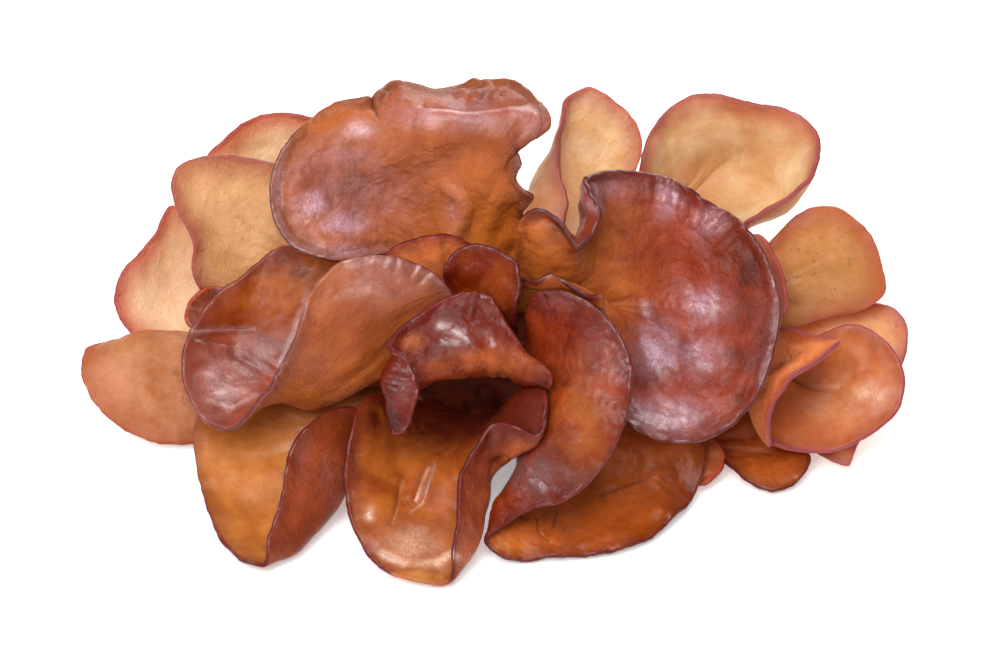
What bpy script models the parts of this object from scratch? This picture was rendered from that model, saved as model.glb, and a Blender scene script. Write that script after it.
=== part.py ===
"""A wood ear mushroom: one cluster of thin jelly ears that grew from a common base.

The base is cut off flat where the wood was, and the cluster rests on that cut.
The ears are laid out on a board that leans back like the view of the cluster: x runs to the
right, y up the board and d out of it, towards the viewer, all in millimetres. An ear is given
by the points of its rim, by its heart, the middle of the sheet, and by a few fold points.
"""

import math

import bmesh
import bpy
import numpy as np
from mathutils import Matrix, Vector, noise

MM = 0.001

# Sizes of the flesh and of the gap where an ear meets the base
FLESH = 2.0 * MM
JOINT_GAP = 0.3 * MM

# The board: how far it leans back, how high its middle is, and how far off it is seen from
LEAN = math.radians(40.0)
BOARD_HEIGHT = 34.8
VIEW_DISTANCE = 800.0

# The base, a mound over its flat cut, whose top reaches forward over the cut
BASE_MIDDLE = (1.0, 16.0)
BASE_HALF_WIDTH = 25.0
BASE_HALF_DEPTH = 15.0
BASE_HEIGHT = 36.0
BASE_REACH_FORWARD = 11.0
BASE_LUMPS_PER_RADIUS = 2.0
BASE_LUMP_HEIGHT = 0.08

# Colours of the flesh, from the dark front ears to the pale, backlit ones behind
TONES = {
    "mahogany": (0.25, 0.06, 0.03),
    "chestnut": (0.35, 0.11, 0.05),
    "amber": (0.45, 0.15, 0.03),
    "peach": (0.68, 0.38, 0.19),
    "tissue": (0.16, 0.05, 0.02),
}
EAR_ROUGHNESS = 0.35

# Rim, heart and folds of each ear: x, y and d on the board. A rim starts and ends at the neck and
# goes once round. A fold is (place along the rim, share of the way from heart to rim, point), and
# cells is the number of facets across.
EARS = {
    "ear_upper_left": dict(
        cells=10,
        tone="chestnut",
        rim=[
            (-4, 1, -13), (3, 12.5, -11.5), (7.5, 20, -6.5), (6.3, 26.8, -1), (8.8, 31, 3),
            (5, 35, 3.5), (6.2, 38.5, 4.5), (4.9, 43, 2.5), (12.5, 47.5, 3), (8, 55.5, -3),
            (0, 57.7, -8), (-9, 56.2, -9), (-16, 55.6, -7), (-24, 57.2, -6), (-28.5, 54.5, -1),
            (-36, 53, -1), (-45, 47, 2), (-51, 38, 5), (-51.5, 29, 6), (-47, 20, 6), (-38, 16, 5),
            (-29, 17, 1), (-20, 17, -5), (-12, 9, -11), (-9, 0, -15),
        ],
        heart=(-22, 34, -5),
        folds=[(9.5, 0.75, (4, 50, 4)), (11.5, 0.75, (-10, 51, 3))],
    ),
    "ear_upper_right": dict(
        cells=10,
        tone="mahogany",
        rim=[
            (2, 2, -11), (3.5, 8, -4), (5, 13, 4), (9, 12, 6), (12.4, 13.6, 6), (17, 11, 7),
            (21, 8.6, 8), (24.3, 9.2, 9), (24.3, 3, 7), (25, -6, 4), (27, -15, 4), (31, -21.7, 6),
            (38, -25.3, 6), (46, -25.5, 6), (54, -22, 5), (61, -14, 4), (64.5, -4, 3), (65.5, 7, 2),
            (62.5, 17, 0), (56, 26, -4), (49, 30, -6), (45, 33, -5), (40, 35.5, -8), (33, 36.7, -7),
            (26, 37, -4), (20, 35.5, 2), (23.8, 27.5, 9), (18.5, 19.3, 11), (15, 25, 6.5),
            (9, 28.3, 5.5), (5.8, 25.5, 5), (4.8, 12, -8.5),
        ],
        heart=(42, 6, -9),
        folds=[(26, 0.85, (20.3, 29, 3)), (29.5, 0.8, (14, 18, 2))],
    ),
    "ear_front_right": dict(
        cells=10,
        tone="mahogany",
        rim=[
            (21, -13, -15), (13, -8, -14), (9.5, 1, -1), (10.5, 9.5, 10), (16, 9, 14.5),
            (22, 6, 17.5), (28, 0.5, 20), (32, -8, 21), (31.5, -16, 21), (28, -26, 20),
            (22, -34.5, 18), (16, -39.5, 17), (10, -40.3, 15), (5, -43, 13), (-1.5, -48.5, 10.5),
            (1.5, -52, 10.5), (12, -52, 10), (22, -51.3, 9.5), (33, -48.7, 7), (42, -42.5, 0.3),
            (47, -35, -5), (48.2, -26, -8), (44, -18.5, -9), (33, -14.5, -11),
        ],
        heart=(7, -28, 2.5),
        folds=[
            (8, 0.5, (18, -16, 16.5)), (20, 0.5, (26, -36, -4)),
            (4.5, 0.45, (9, -9, 4.5)), (13.3, 0.6, (1, -39, 8)),
        ],
    ),
    "ear_front_left": dict(
        cells=10,
        tone="chestnut",
        rim=[
            (-10, 9.5, 6), (-14, 13.7, 8), (-20, 16.6, 10), (-27, 17.8, 12), (-35, 16.4, 13),
            (-41, 11.4, 14), (-44, 5, 14), (-47, -3, 13), (-51, -10.5, 12), (-55.5, -17.5, 10),
            (-61, -22, 7), (-67, -20.5, 4), (-71, -13.5, 1), (-72, -5, -2), (-69.5, 1.5, -5),
            (-64, 9, -8), (-57, 14, -10), (-50, 19.5, -11), (-40, 20, -12), (-30, 14, -13),
            (-20, 4, -14), (-11, -7, -12), (-9, 1, 0),
        ],
        heart=(-42, -17, -3),
        folds=[(4, 0.5, (-32, -2, 10)), (13.5, 0.55, (-60, -6, -9))],
    ),
    "ear_hood": dict(
        cells=10,
        tone="mahogany",
        rim=[
            (3, -9, -12), (4.5, -11, 1), (8, -12, 12.5), (12.3, -13.5, 16.5), (13.2, -10.3, 18),
            (8, -5, 14), (3, 2, 11), (-1, 8, 9), (-6, 9.4, 9), (-13, 7, 10.5), (-20, 1.5, 13),
            (-24.5, -3, 15.5), (-20, -7.5, 20), (-17.6, -14, 20.5), (-20.5, -23, 18),
            (-23, -24, 16), (-21, -15, 8), (-14, -10.5, -4), (-6, -9, -10),
        ],
        heart=(-6, -4, 12),
        folds=[(18, 0.5, (-7, -9.3, 9)), (13, 0.7, (-25.3, -11, 15))],
    ),
    "ear_front_tongue": dict(
        cells=10,
        tone="amber",
        rim=[
            (1, -18.5, -16), (3, -16, -4), (7.5, -13, 8.5), (11.6, -13.2, 13.5), (12, -17.5, 16),
            (9.5, -23.3, 16), (4, -21, 13.5), (-0.5, -21.3, 12.5), (-4, -26, 13.5), (-8, -33, 15),
            (-9, -43, 17), (-10.3, -52, 17.5), (-10.5, -56.6, 17), (-19, -57.4, 17),
            (-27.5, -53.2, 14.5), (-32.7, -45, 10.5), (-34.7, -34, 8), (-33.6, -24, 5),
            (-31, -16, 1), (-22, -15, -9), (-8, -17, -17),
        ],
        heart=(-17.5, -38.6, 2.5),
        folds=[
            (9, 0.75, (-2, -36, 8)), (11, 0.8, (-5, -49, 13)),
            (5.3, 0.8, (8, -25.5, 14)), (7, 0.75, (0, -27.5, 8)),
        ],
    ),
    "ear_low_left": dict(
        cells=10,
        tone="amber",
        rim=[
            (-11, -15, -19), (-34, -13, -14), (-50, -12, -15), (-64, -14, -14), (-69, -22, -10),
            (-69, -29, -8), (-67, -38, -2), (-63.5, -47, 6), (-57, -53, 12.7), (-53, -53.7, 14.5),
            (-52.3, -48, 15), (-50, -41, 13), (-48.5, -32, 11), (-45.5, -24, 7.5), (-38, -18, 2),
            (-28, -18, -7), (-12, -20, -18),
        ],
        heart=(-52, -36, -3),
        folds=[
            (11, 0.55, (-38.5, -42, 3)), (9.9, 0.8, (-47, -50, 11)),
            (12.6, 0.5, (-33, -33, -2)),
        ],
    ),
    "ear_far_left": dict(
        cells=7,
        tone="amber",
        rim=[
            (-16, -15, -26), (-16, -10, -27), (-45, -5, -26), (-60, -2, -28), (-75, -1.5, -28),
            (-88, -2, -27), (-94, -4, -25), (-95, -8, -23), (-93, -15, -21), (-88, -20.5, -20),
            (-80, -24.8, -19.5), (-71, -26, -19), (-60, -24, -19), (-45, -20, -21),
        ],
        heart=(-76, -11, -15),
        folds=[(4, 0.7, (-80, -0.5, -21))],
    ),
    "ear_left_back": dict(
        cells=7,
        tone="peach",
        rim=[
            (-16, -8, -29), (-14, -4, -30), (-45, 8, -36), (-60, 20, -38), (-70, 28, -38),
            (-75, 29, -37), (-77.5, 23.8, -35), (-82, 18, -35), (-86, 13.5, -34), (-87.5, 6.5, -34),
            (-85, 1, -33), (-78, -4, -33), (-65, -8, -33), (-45, -9, -32),
        ],
        heart=(-70, 8, -41),
        folds=[],
    ),
    "ear_left_upper": dict(
        cells=7,
        tone="peach",
        rim=[
            (-10, -2, -24), (-8, 3, -25), (-28, 16, -24), (-40, 30, -21), (-46, 37, -20),
            (-52, 39.3, -20), (-60, 40.5, -19), (-68, 40.3, -18), (-73.5, 37.5, -17),
            (-74.3, 32, -16), (-72, 25.5, -16), (-69.5, 20, -16), (-69.5, 13, -17), (-67, 9, -19),
            (-55, 4, -23), (-35, -2, -24),
        ],
        heart=(-56, 24, -24),
        folds=[],
    ),
    "ear_back_left": dict(
        cells=7,
        tone="peach",
        rim=[
            (-4, -4, -27), (2, 0, -28), (-15, 25, -31), (-28, 40, -32), (-38, 48, -31),
            (-45, 50.2, -30), (-52, 50.2, -29), (-58, 48, -28), (-63, 44, -27), (-67, 39, -27),
            (-66, 32, -28), (-56, 22, -29), (-36, 10, -29),
        ],
        heart=(-45, 34, -36),
        folds=[],
    ),
    "ear_small_left": dict(
        cells=6,
        tone="chestnut",
        rim=[
            (-7, -2, -10), (-3, 0, -9), (-2.5, 12, -4), (-4.5, 19, -1), (-8.5, 21.8, 1),
            (-13, 22.9, 2), (-18, 21.3, 3), (-25, 17.8, 4), (-23, 13, 2), (-15, 7, -3),
        ],
        heart=(-13, 13, -2),
        folds=[],
    ),
    "ear_small_cup": dict(
        cells=7,
        tone="mahogany",
        rim=[
            (-2, -3, -6), (3, -2, -6), (4.3, 6, 8), (4.5, 11, 8.5), (4, 15.5, 8), (0.5, 19, 6.5),
            (-4, 20.2, 5.5), (-9, 18.7, 4.5), (-12, 14.5, 3), (-10.5, 9, 1), (-7, 1, -3),
        ],
        heart=(-4, 8, -0.5),
        folds=[],
    ),
    "ear_back_spoon": dict(
        cells=7,
        tone="peach",
        rim=[
            (5, -2, -18), (10, 0, -20), (24, 22, -28), (31, 34, -29), (34, 42, -27),
            (32.5, 48, -25), (28, 52.8, -24), (21.7, 56.3, -22), (17, 53.5, -19), (15.3, 46, -15),
            (14.3, 38, -12), (16.5, 30, -11), (15, 20, -13), (8, 9, -17),
        ],
        heart=(21, 32, -27),
        folds=[(10, 0.7, (9.5, 34, -18)), (11.5, 0.7, (6.5, 26, -17))],
    ),
    "ear_back_right": dict(
        cells=10,
        tone="peach",
        rim=[
            (10, -3, -22), (15, 1, -24), (45, 13, -19), (56, 24, -14), (63, 28.5, -12),
            (69, 32, -12), (73.5, 37, -13.5), (75, 42, -16), (73.5, 47, -18), (69, 50.3, -20),
            (61, 52.3, -22), (56, 53.8, -23), (51, 55, -23), (45, 54, -23), (39, 50, -22),
            (35, 45, -21), (33, 39, -20), (32, 30, -23), (24, 12, -24),
        ],
        heart=(52, 36, -34),
        folds=[(5, 0.75, (67, 28, -20))],
    ),
    "ear_right_upper": dict(
        cells=7,
        tone="peach",
        rim=[
            (13, -6, -25.5), (16, -3.5, -26.5), (45, 6.5, -25.5), (58, 15.5, -24.5), (65, 23, -23),
            (71, 28, -22), (77, 29, -21.5), (83, 26, -20), (87.5, 20.5, -19), (89.5, 14, -18),
            (89.8, 8.8, -18.5), (86, 6, -20.5), (76, 3, -21.5), (62, -1, -22), (45, -6, -23.5),
        ],
        heart=(72, 14, -16),
        folds=[],
    ),
    "ear_right_middle": dict(
        cells=7,
        tone="peach",
        rim=[
            (14, -14, -26), (18, -10, -28), (50, -2, -30), (70, 5, -30), (84, 7, -28), (91, 6, -26),
            (94.5, 2, -25), (95, -2, -24.5), (92, -12, -23), (86, -22, -18.5), (82.5, -28, -15.5),
            (81.5, -30.7, -13.8), (77, -29.5, -15), (70, -25, -20), (62, -19.5, -24),
            (45, -16, -26),
        ],
        heart=(74, -12, -28),
        folds=[],
    ),
    "ear_right_lower": dict(
        cells=10,
        tone="amber",
        rim=[
            (12, -14.5, -19), (15, -9.5, -20.5), (52, -8.5, -19), (66, -5, -19), (75, -0.5, -18.5),
            (82.5, 1.8, -18), (90, -2, -16), (94.3, -10, -13.5), (93, -17, -12), (87, -23.5, -10.5),
            (79, -27, -9.5), (70, -27.3, -9), (64.5, -26, -6), (63, -26.5, -3), (63.8, -19, 0),
            (67, -12.5, 1.5), (73, -7.5, 1), (79.3, -2, -2), (74, -0.8, -6), (66, 0.5, -11),
            (56, -4, -12.5), (40, -13.5, -14.5),
        ],
        heart=(76, -14, -20),
        folds=[(15, 0.8, (60, -14, -8))],
    ),
    "ear_right_bottom": dict(
        cells=7,
        tone="amber",
        rim=[
            (8, -23.5, -20.5), (10, -20.5, -22), (45, -22, -20), (60, -23.5, -18.5), (70, -26, -16),
            (72.5, -28.5, -13.5), (71, -33, -9.7), (64, -36.3, -7.2), (57, -34, -9.7),
            (53, -30.5, -12.7), (42, -28, -16.5),
        ],
        heart=(60, -28.5, -16.5),
        folds=[],
    ),
    "ear_right_inner": dict(
        cells=7,
        tone="peach",
        rim=[
            (12, -3, -18.5), (15, 2, -18.5), (45, 14, -13), (55, 21, -11), (61, 22.5, -9.5),
            (65.5, 16, -8), (67.3, 9, -7), (66.8, 4, -6), (62, 0, -7), (48, -4, -11.5),
        ],
        heart=(54, 7, -15),
        folds=[],
    ),
    "ear_small_right": dict(
        cells=7,
        tone="amber",
        rim=[
            (7, -24, -16), (9, -21.5, -17), (40, -23, -13.5), (50, -24, -12), (53, -28, -10.5),
            (51.5, -33, -9), (47.5, -35.6, -8), (42, -34, -9.5), (28, -27, -15),
        ],
        heart=(42, -28, -14),
        folds=[],
    ),
    "ear_left_inner": dict(
        cells=7,
        tone="chestnut",
        rim=[
            (-16, -9, -15), (-16, -5, -17), (-45, 5, -16.5), (-60, 9.5, -16), (-66, 10.5, -15.5),
            (-70.5, 7, -15), (-71, 2, -14.5), (-66, -1, -14), (-45, -5, -14),
        ],
        heart=(-55, 3, -17.5),
        folds=[],
    ),
}


def clear_scene():
    for obj in list(bpy.data.objects):
        bpy.data.objects.remove(obj)


def off_board(x, y, d):
    """The world position, in metres, of a point on the leaning board."""
    drawn_to_real = 1.0 - d / VIEW_DISTANCE
    x, y = x * drawn_to_real, y * drawn_to_real
    back = y * math.sin(LEAN) - d * math.cos(LEAN)
    up = y * math.cos(LEAN) + d * math.sin(LEAN) + BOARD_HEIGHT
    return Vector((x, back, up)) * MM


def thin_plate_kernel(distance):
    return np.where(distance > 0, distance**2 * np.log(np.maximum(distance, 1e-9)), 0.0)


class ThinPlate:
    """The smoothest bent plate that carries each knot of a flat disc to its place in space."""

    def __init__(self, knots, places):
        self.knots = np.array(knots)
        count = len(knots)
        flat = np.column_stack([np.ones(count), self.knots])
        system = np.zeros((count + 3, count + 3))
        system[:count, :count] = thin_plate_kernel(self.distances(self.knots))
        system[:count, count:] = flat
        system[count:, :count] = flat.T
        self.weights = np.linalg.solve(system, np.vstack([np.array(places), np.zeros((3, 3))]))

    def distances(self, points):
        return np.linalg.norm(points[:, None] - self.knots[None], axis=2)

    def at(self, points):
        flat = np.column_stack([np.ones(len(points)), points])
        count = len(self.knots)
        bent = thin_plate_kernel(self.distances(points)) @ self.weights[:count]
        return bent + flat @ self.weights[count:]


def sheet_of(ear):
    """The middle sheet of an ear, as a plate bent from the unit disc."""
    rim = [np.array(off_board(*p)) for p in ear["rim"]]
    steps = [np.linalg.norm(rim[i] - rim[i - 1]) for i in range(1, len(rim))]
    steps.append(np.linalg.norm(rim[0] - rim[-1]))
    along = np.concatenate([[0.0], np.cumsum(steps)]) / sum(steps)

    def on_disc(clock, reach):
        angle = 2 * math.pi * np.interp(clock, range(len(along)), along)
        return reach * math.cos(angle), reach * math.sin(angle)

    knots = [on_disc(i, 1.0) for i in range(len(rim))] + [(0.0, 0.0)]
    places = rim + [np.array(off_board(*ear["heart"]))]
    for clock, reach, place in ear["folds"]:
        knots.append(on_disc(clock, reach))
        places.append(np.array(off_board(*place)))
    return ThinPlate(knots, places)


def square_to_disc(x, y):
    """Where a point of the square from -1 to 1 lies on the unit disc."""
    return x * math.sqrt(1 - y * y / 2), y * math.sqrt(1 - x * x / 2)


def add_object(name, bm, tone):
    mesh = bpy.data.meshes.new(name)
    bm.to_mesh(mesh)
    bm.free()
    obj = bpy.data.objects.new(name, mesh)
    bpy.context.scene.collection.objects.link(obj)
    material = bpy.data.materials.new(name)
    material.use_nodes = True
    shader = material.node_tree.nodes["Principled BSDF"]
    shader.inputs["Base Color"].default_value = (*TONES[tone], 1.0)
    shader.inputs["Roughness"].default_value = EAR_ROUGHNESS
    mesh.materials.append(material)
    mesh.shade_smooth()
    return obj


def add_ear(name, ear):
    bm = bmesh.new()
    bmesh.ops.create_grid(bm, x_segments=ear["cells"], y_segments=ear["cells"], size=1.0)
    disc = np.array([square_to_disc(v.co.x, v.co.y) for v in bm.verts])
    for vertex, place in zip(bm.verts, sheet_of(ear).at(disc)):
        vertex.co = place
    obj = add_object(name, bm, ear["tone"])
    flesh = obj.modifiers.new("flesh", "SOLIDIFY")
    flesh.thickness = FLESH
    flesh.offset = 0.0
    return obj


def add_base(name, grown):
    """The common base, a lumpy mound cut flat below. grown moves its skin out, as a cutter's."""
    bm = bmesh.new()
    bmesh.ops.create_icosphere(bm, subdivisions=4, radius=1.0)
    everything = bm.verts[:] + bm.edges[:] + bm.faces[:]
    bmesh.ops.bisect_plane(bm, geom=everything, dist=1e-6, plane_no=(0, 0, 1), clear_inner=True)
    bmesh.ops.holes_fill(bm, edges=bm.edges[:])
    for vertex in bm.verts:
        unit = vertex.co.copy()
        size = 1 + BASE_LUMP_HEIGHT * noise.noise(unit * BASE_LUMPS_PER_RADIUS)
        x = BASE_MIDDLE[0] + BASE_HALF_WIDTH * size * unit.x
        y = BASE_MIDDLE[1] + BASE_HALF_DEPTH * size * unit.y - BASE_REACH_FORWARD * unit.z
        vertex.co = Vector((x, y, BASE_HEIGHT * size * unit.z)) * MM
    bmesh.ops.recalc_face_normals(bm, faces=bm.faces[:])
    bm.normal_update()
    for vertex in bm.verts:
        vertex.co += vertex.normal * grown
    return add_object(name, bm, "tissue")


def cut_off_at_base(ear, cutter):
    """Ends an ear's neck just off the skin of the base."""
    neck = ear.modifiers.new("neck", "BOOLEAN")
    neck.operation = "DIFFERENCE"
    neck.solver = "EXACT"
    neck.object = cutter


def centre_on_origin(objects):
    """Moves the whole cluster so that the middle of its footprint is the origin."""
    graph = bpy.context.evaluated_depsgraph_get()
    corners = [Vector(c) for obj in objects for c in obj.evaluated_get(graph).bound_box]
    middle = [(min(c[i] for c in corners) + max(c[i] for c in corners)) / 2 for i in range(2)]
    shift = Vector((-middle[0], -middle[1], 0))
    for obj in bpy.data.objects:
        obj.data.transform(Matrix.Translation(shift))


def main():
    clear_scene()
    base = add_base("base", 0.0)
    cutter = add_base("neck_cutter", JOINT_GAP)
    cutter.hide_render = True
    cutter.display_type = "WIRE"
    cluster = [base]
    for name, ear in EARS.items():
        cluster.append(add_ear(name, ear))
        cut_off_at_base(cluster[-1], cutter)
    centre_on_origin(cluster)


main()
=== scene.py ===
"""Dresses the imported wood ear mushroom: jelly ears with rounded rims, ruffles and veined flesh.

It is laid out as an add-on. Run as a script, it grows every piece and the studio around it.
"""

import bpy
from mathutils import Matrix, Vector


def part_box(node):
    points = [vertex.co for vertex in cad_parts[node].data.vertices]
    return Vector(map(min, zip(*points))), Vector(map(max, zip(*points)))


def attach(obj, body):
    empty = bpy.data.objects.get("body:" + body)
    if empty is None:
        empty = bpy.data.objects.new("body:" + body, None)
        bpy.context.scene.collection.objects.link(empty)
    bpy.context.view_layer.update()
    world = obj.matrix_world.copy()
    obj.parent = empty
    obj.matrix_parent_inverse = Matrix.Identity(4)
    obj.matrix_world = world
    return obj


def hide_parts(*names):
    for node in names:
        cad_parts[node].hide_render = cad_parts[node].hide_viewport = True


bl_info = {
    "name": "Wood Ear Mushroom",
    "version": (1, 0, 0),
    "blender": (4, 5, 0),
    "location": "3D View > Sidebar > Wood Ear",
    "description": "Grows a cluster of wood ears on the packed model, and a studio to see it in",
    "category": "Add Mesh",
}

import math

import bmesh
import bpy
import numpy as np
from bpy.props import FloatProperty, FloatVectorProperty, PointerProperty
from mathutils import Vector, noise

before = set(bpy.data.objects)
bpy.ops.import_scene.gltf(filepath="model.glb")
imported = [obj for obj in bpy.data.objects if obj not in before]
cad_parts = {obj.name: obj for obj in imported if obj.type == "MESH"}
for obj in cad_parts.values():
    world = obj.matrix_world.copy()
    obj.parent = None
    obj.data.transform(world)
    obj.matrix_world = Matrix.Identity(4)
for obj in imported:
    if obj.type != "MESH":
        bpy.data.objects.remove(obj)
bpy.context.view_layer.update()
MM = 0.001

# The board that the ears are laid out on: how far it leans back, how high its middle is, and how
# far off it is seen from
LEAN = math.radians(40.0)
BOARD_HEIGHT = 34.8
VIEW_DISTANCE = 800.0

# What the camera takes in: metres across at the middle of the cluster, and the shift of its
# picture, in widths
VIEW_WIDTH = 0.230
VIEW_SHIFT = (0.005, 0.008)
SENSOR_WIDTH = 36.0

# The square lights: azimuth and elevation in degrees, where azimuth 0 is behind the camera, then
# distance and side in metres, and power in watts
LIGHTS = {
    "overhead": (-15.0, 66.0, 0.9, 0.65, 7.5),
    "beside_camera": (-28.0, 42.0, 0.9, 0.32, 2.2),
    "back": (165.0, 32.0, 0.8, 0.6, 6.0),
    "side": (-80.0, 35.0, 0.9, 0.3, 1.6),
}
LIT_PLACE = Vector((0, 0, 30 * MM))

# The base, a mound over its flat cut, whose top reaches forward over the cut
BASE_MIDDLE = (1.0, 16.0)
BASE_HALF_WIDTH = 25.0
BASE_HALF_DEPTH = 15.0
BASE_HEIGHT = 36.0
BASE_REACH_FORWARD = 11.0
BASE_LUMPS_PER_RADIUS = 2.0
BASE_LUMP_HEIGHT = 0.08
BASE_SMALL_LUMPS_PER_RADIUS = 7.0
BASE_SMALL_LUMP_HEIGHT = 0.012

# The flesh's relief. A size is how wide the lumps of a noise are, a fade is from where to where an
# effect grows from nothing to its full height, and a share is how high small lumps are to large.
NECK_FADE = (5 * MM, 20 * MM)
RUFFLE_FADE = (12 * MM, 1 * MM)
RUFFLE_SIZE = 8.5 * MM
SMALL_RUFFLE_SIZE = 3.8 * MM
SMALL_RUFFLE_SHARE = 0.5
STREAKS_PER_RADIAN = 6.0
STREAK_LENGTH = 30 * MM
DIMPLE_SIZE = 9 * MM
DIMPLES_AT_NECK = 0.35
CREASE_SIZE = 4.5 * MM
CREASE_OCTAVES = (1, 0.5, 0.25)
CREASE_LEVEL = 0.35
LIP_GROOVE_INSET = 3.2 * MM
LIP_GROOVE_WIDTH = 1.7 * MM
SCALLOP_FADE = (5 * MM, 0)
SCALLOP_SIZE = 3.0 * MM
SMALL_SCALLOP_SIZE = 1.3 * MM
SMALL_SCALLOP_SHARE = 0.6
THICKNESS_FADE = (0.5 * MM, 7 * MM)
THICKNESS_SIZE = 6 * MM
THICKNESS_VARIATION = 0.14

# Places on the unit disc that an ear is bent from: the neck, the point beyond it that the streaks
# fan out from, the middle, where the rim is a mean radius away, and the step that the way out is
# measured over
NECK_ON_DISC = (0.97, 0.0)
FAN_CENTRE = 1.02
DISC_MIDDLE = 0.05
DISC_STEP = 0.02

# The rows of faces that round a rim, and the gap within which the two skins are joined along it
RIM_STEPS = 5
SEAM_GAP = 2e-7

# How fast the inner side turns into the outer one round a rim
SIDE_CHANGE = 1.6

# Plain values of the shaders of the jelly flesh, the base's tissue and the floor's paper
GLOW_RADIUS = (1.0, 0.32, 0.10)
JELLY = {
    "IOR": 1.42,
    "Specular IOR Level": 0.22,
    "Coat IOR": 1.65,
    "Subsurface Radius": GLOW_RADIUS,
    "Subsurface Scale": 4 * MM,
}
TISSUE = {
    "Roughness": 0.5,
    "Specular IOR Level": 0.15,
    "Subsurface Weight": 0.2,
    "Subsurface Radius": GLOW_RADIUS,
    "Subsurface Scale": 3 * MM,
}
PAPER = {
    "Roughness": 0.9,
    "Emission Color": (1.0, 1.0, 1.0, 1.0),
    "Emission Strength": 0.35,
}
SKIN_BUMP = 0.5 * MM
TISSUE_BUMP = 0.6 * MM
FLOOR_HALF_WIDTH = 4.0
WORLD_LIGHT = 0.3

# Each attribute of this name holds how thickly that paint lies on the flesh. The amber paint is
# the flesh's own amber where it is thin, partly a painted glow of light shining through it; the
# pale paint is the skin's pale fuzz with painted highlights over it; and the dark paint is
# darker flesh with painted shade in its creases, curls and hollows.
PAINTS = ("amber", "bloom", "dark")

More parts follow.
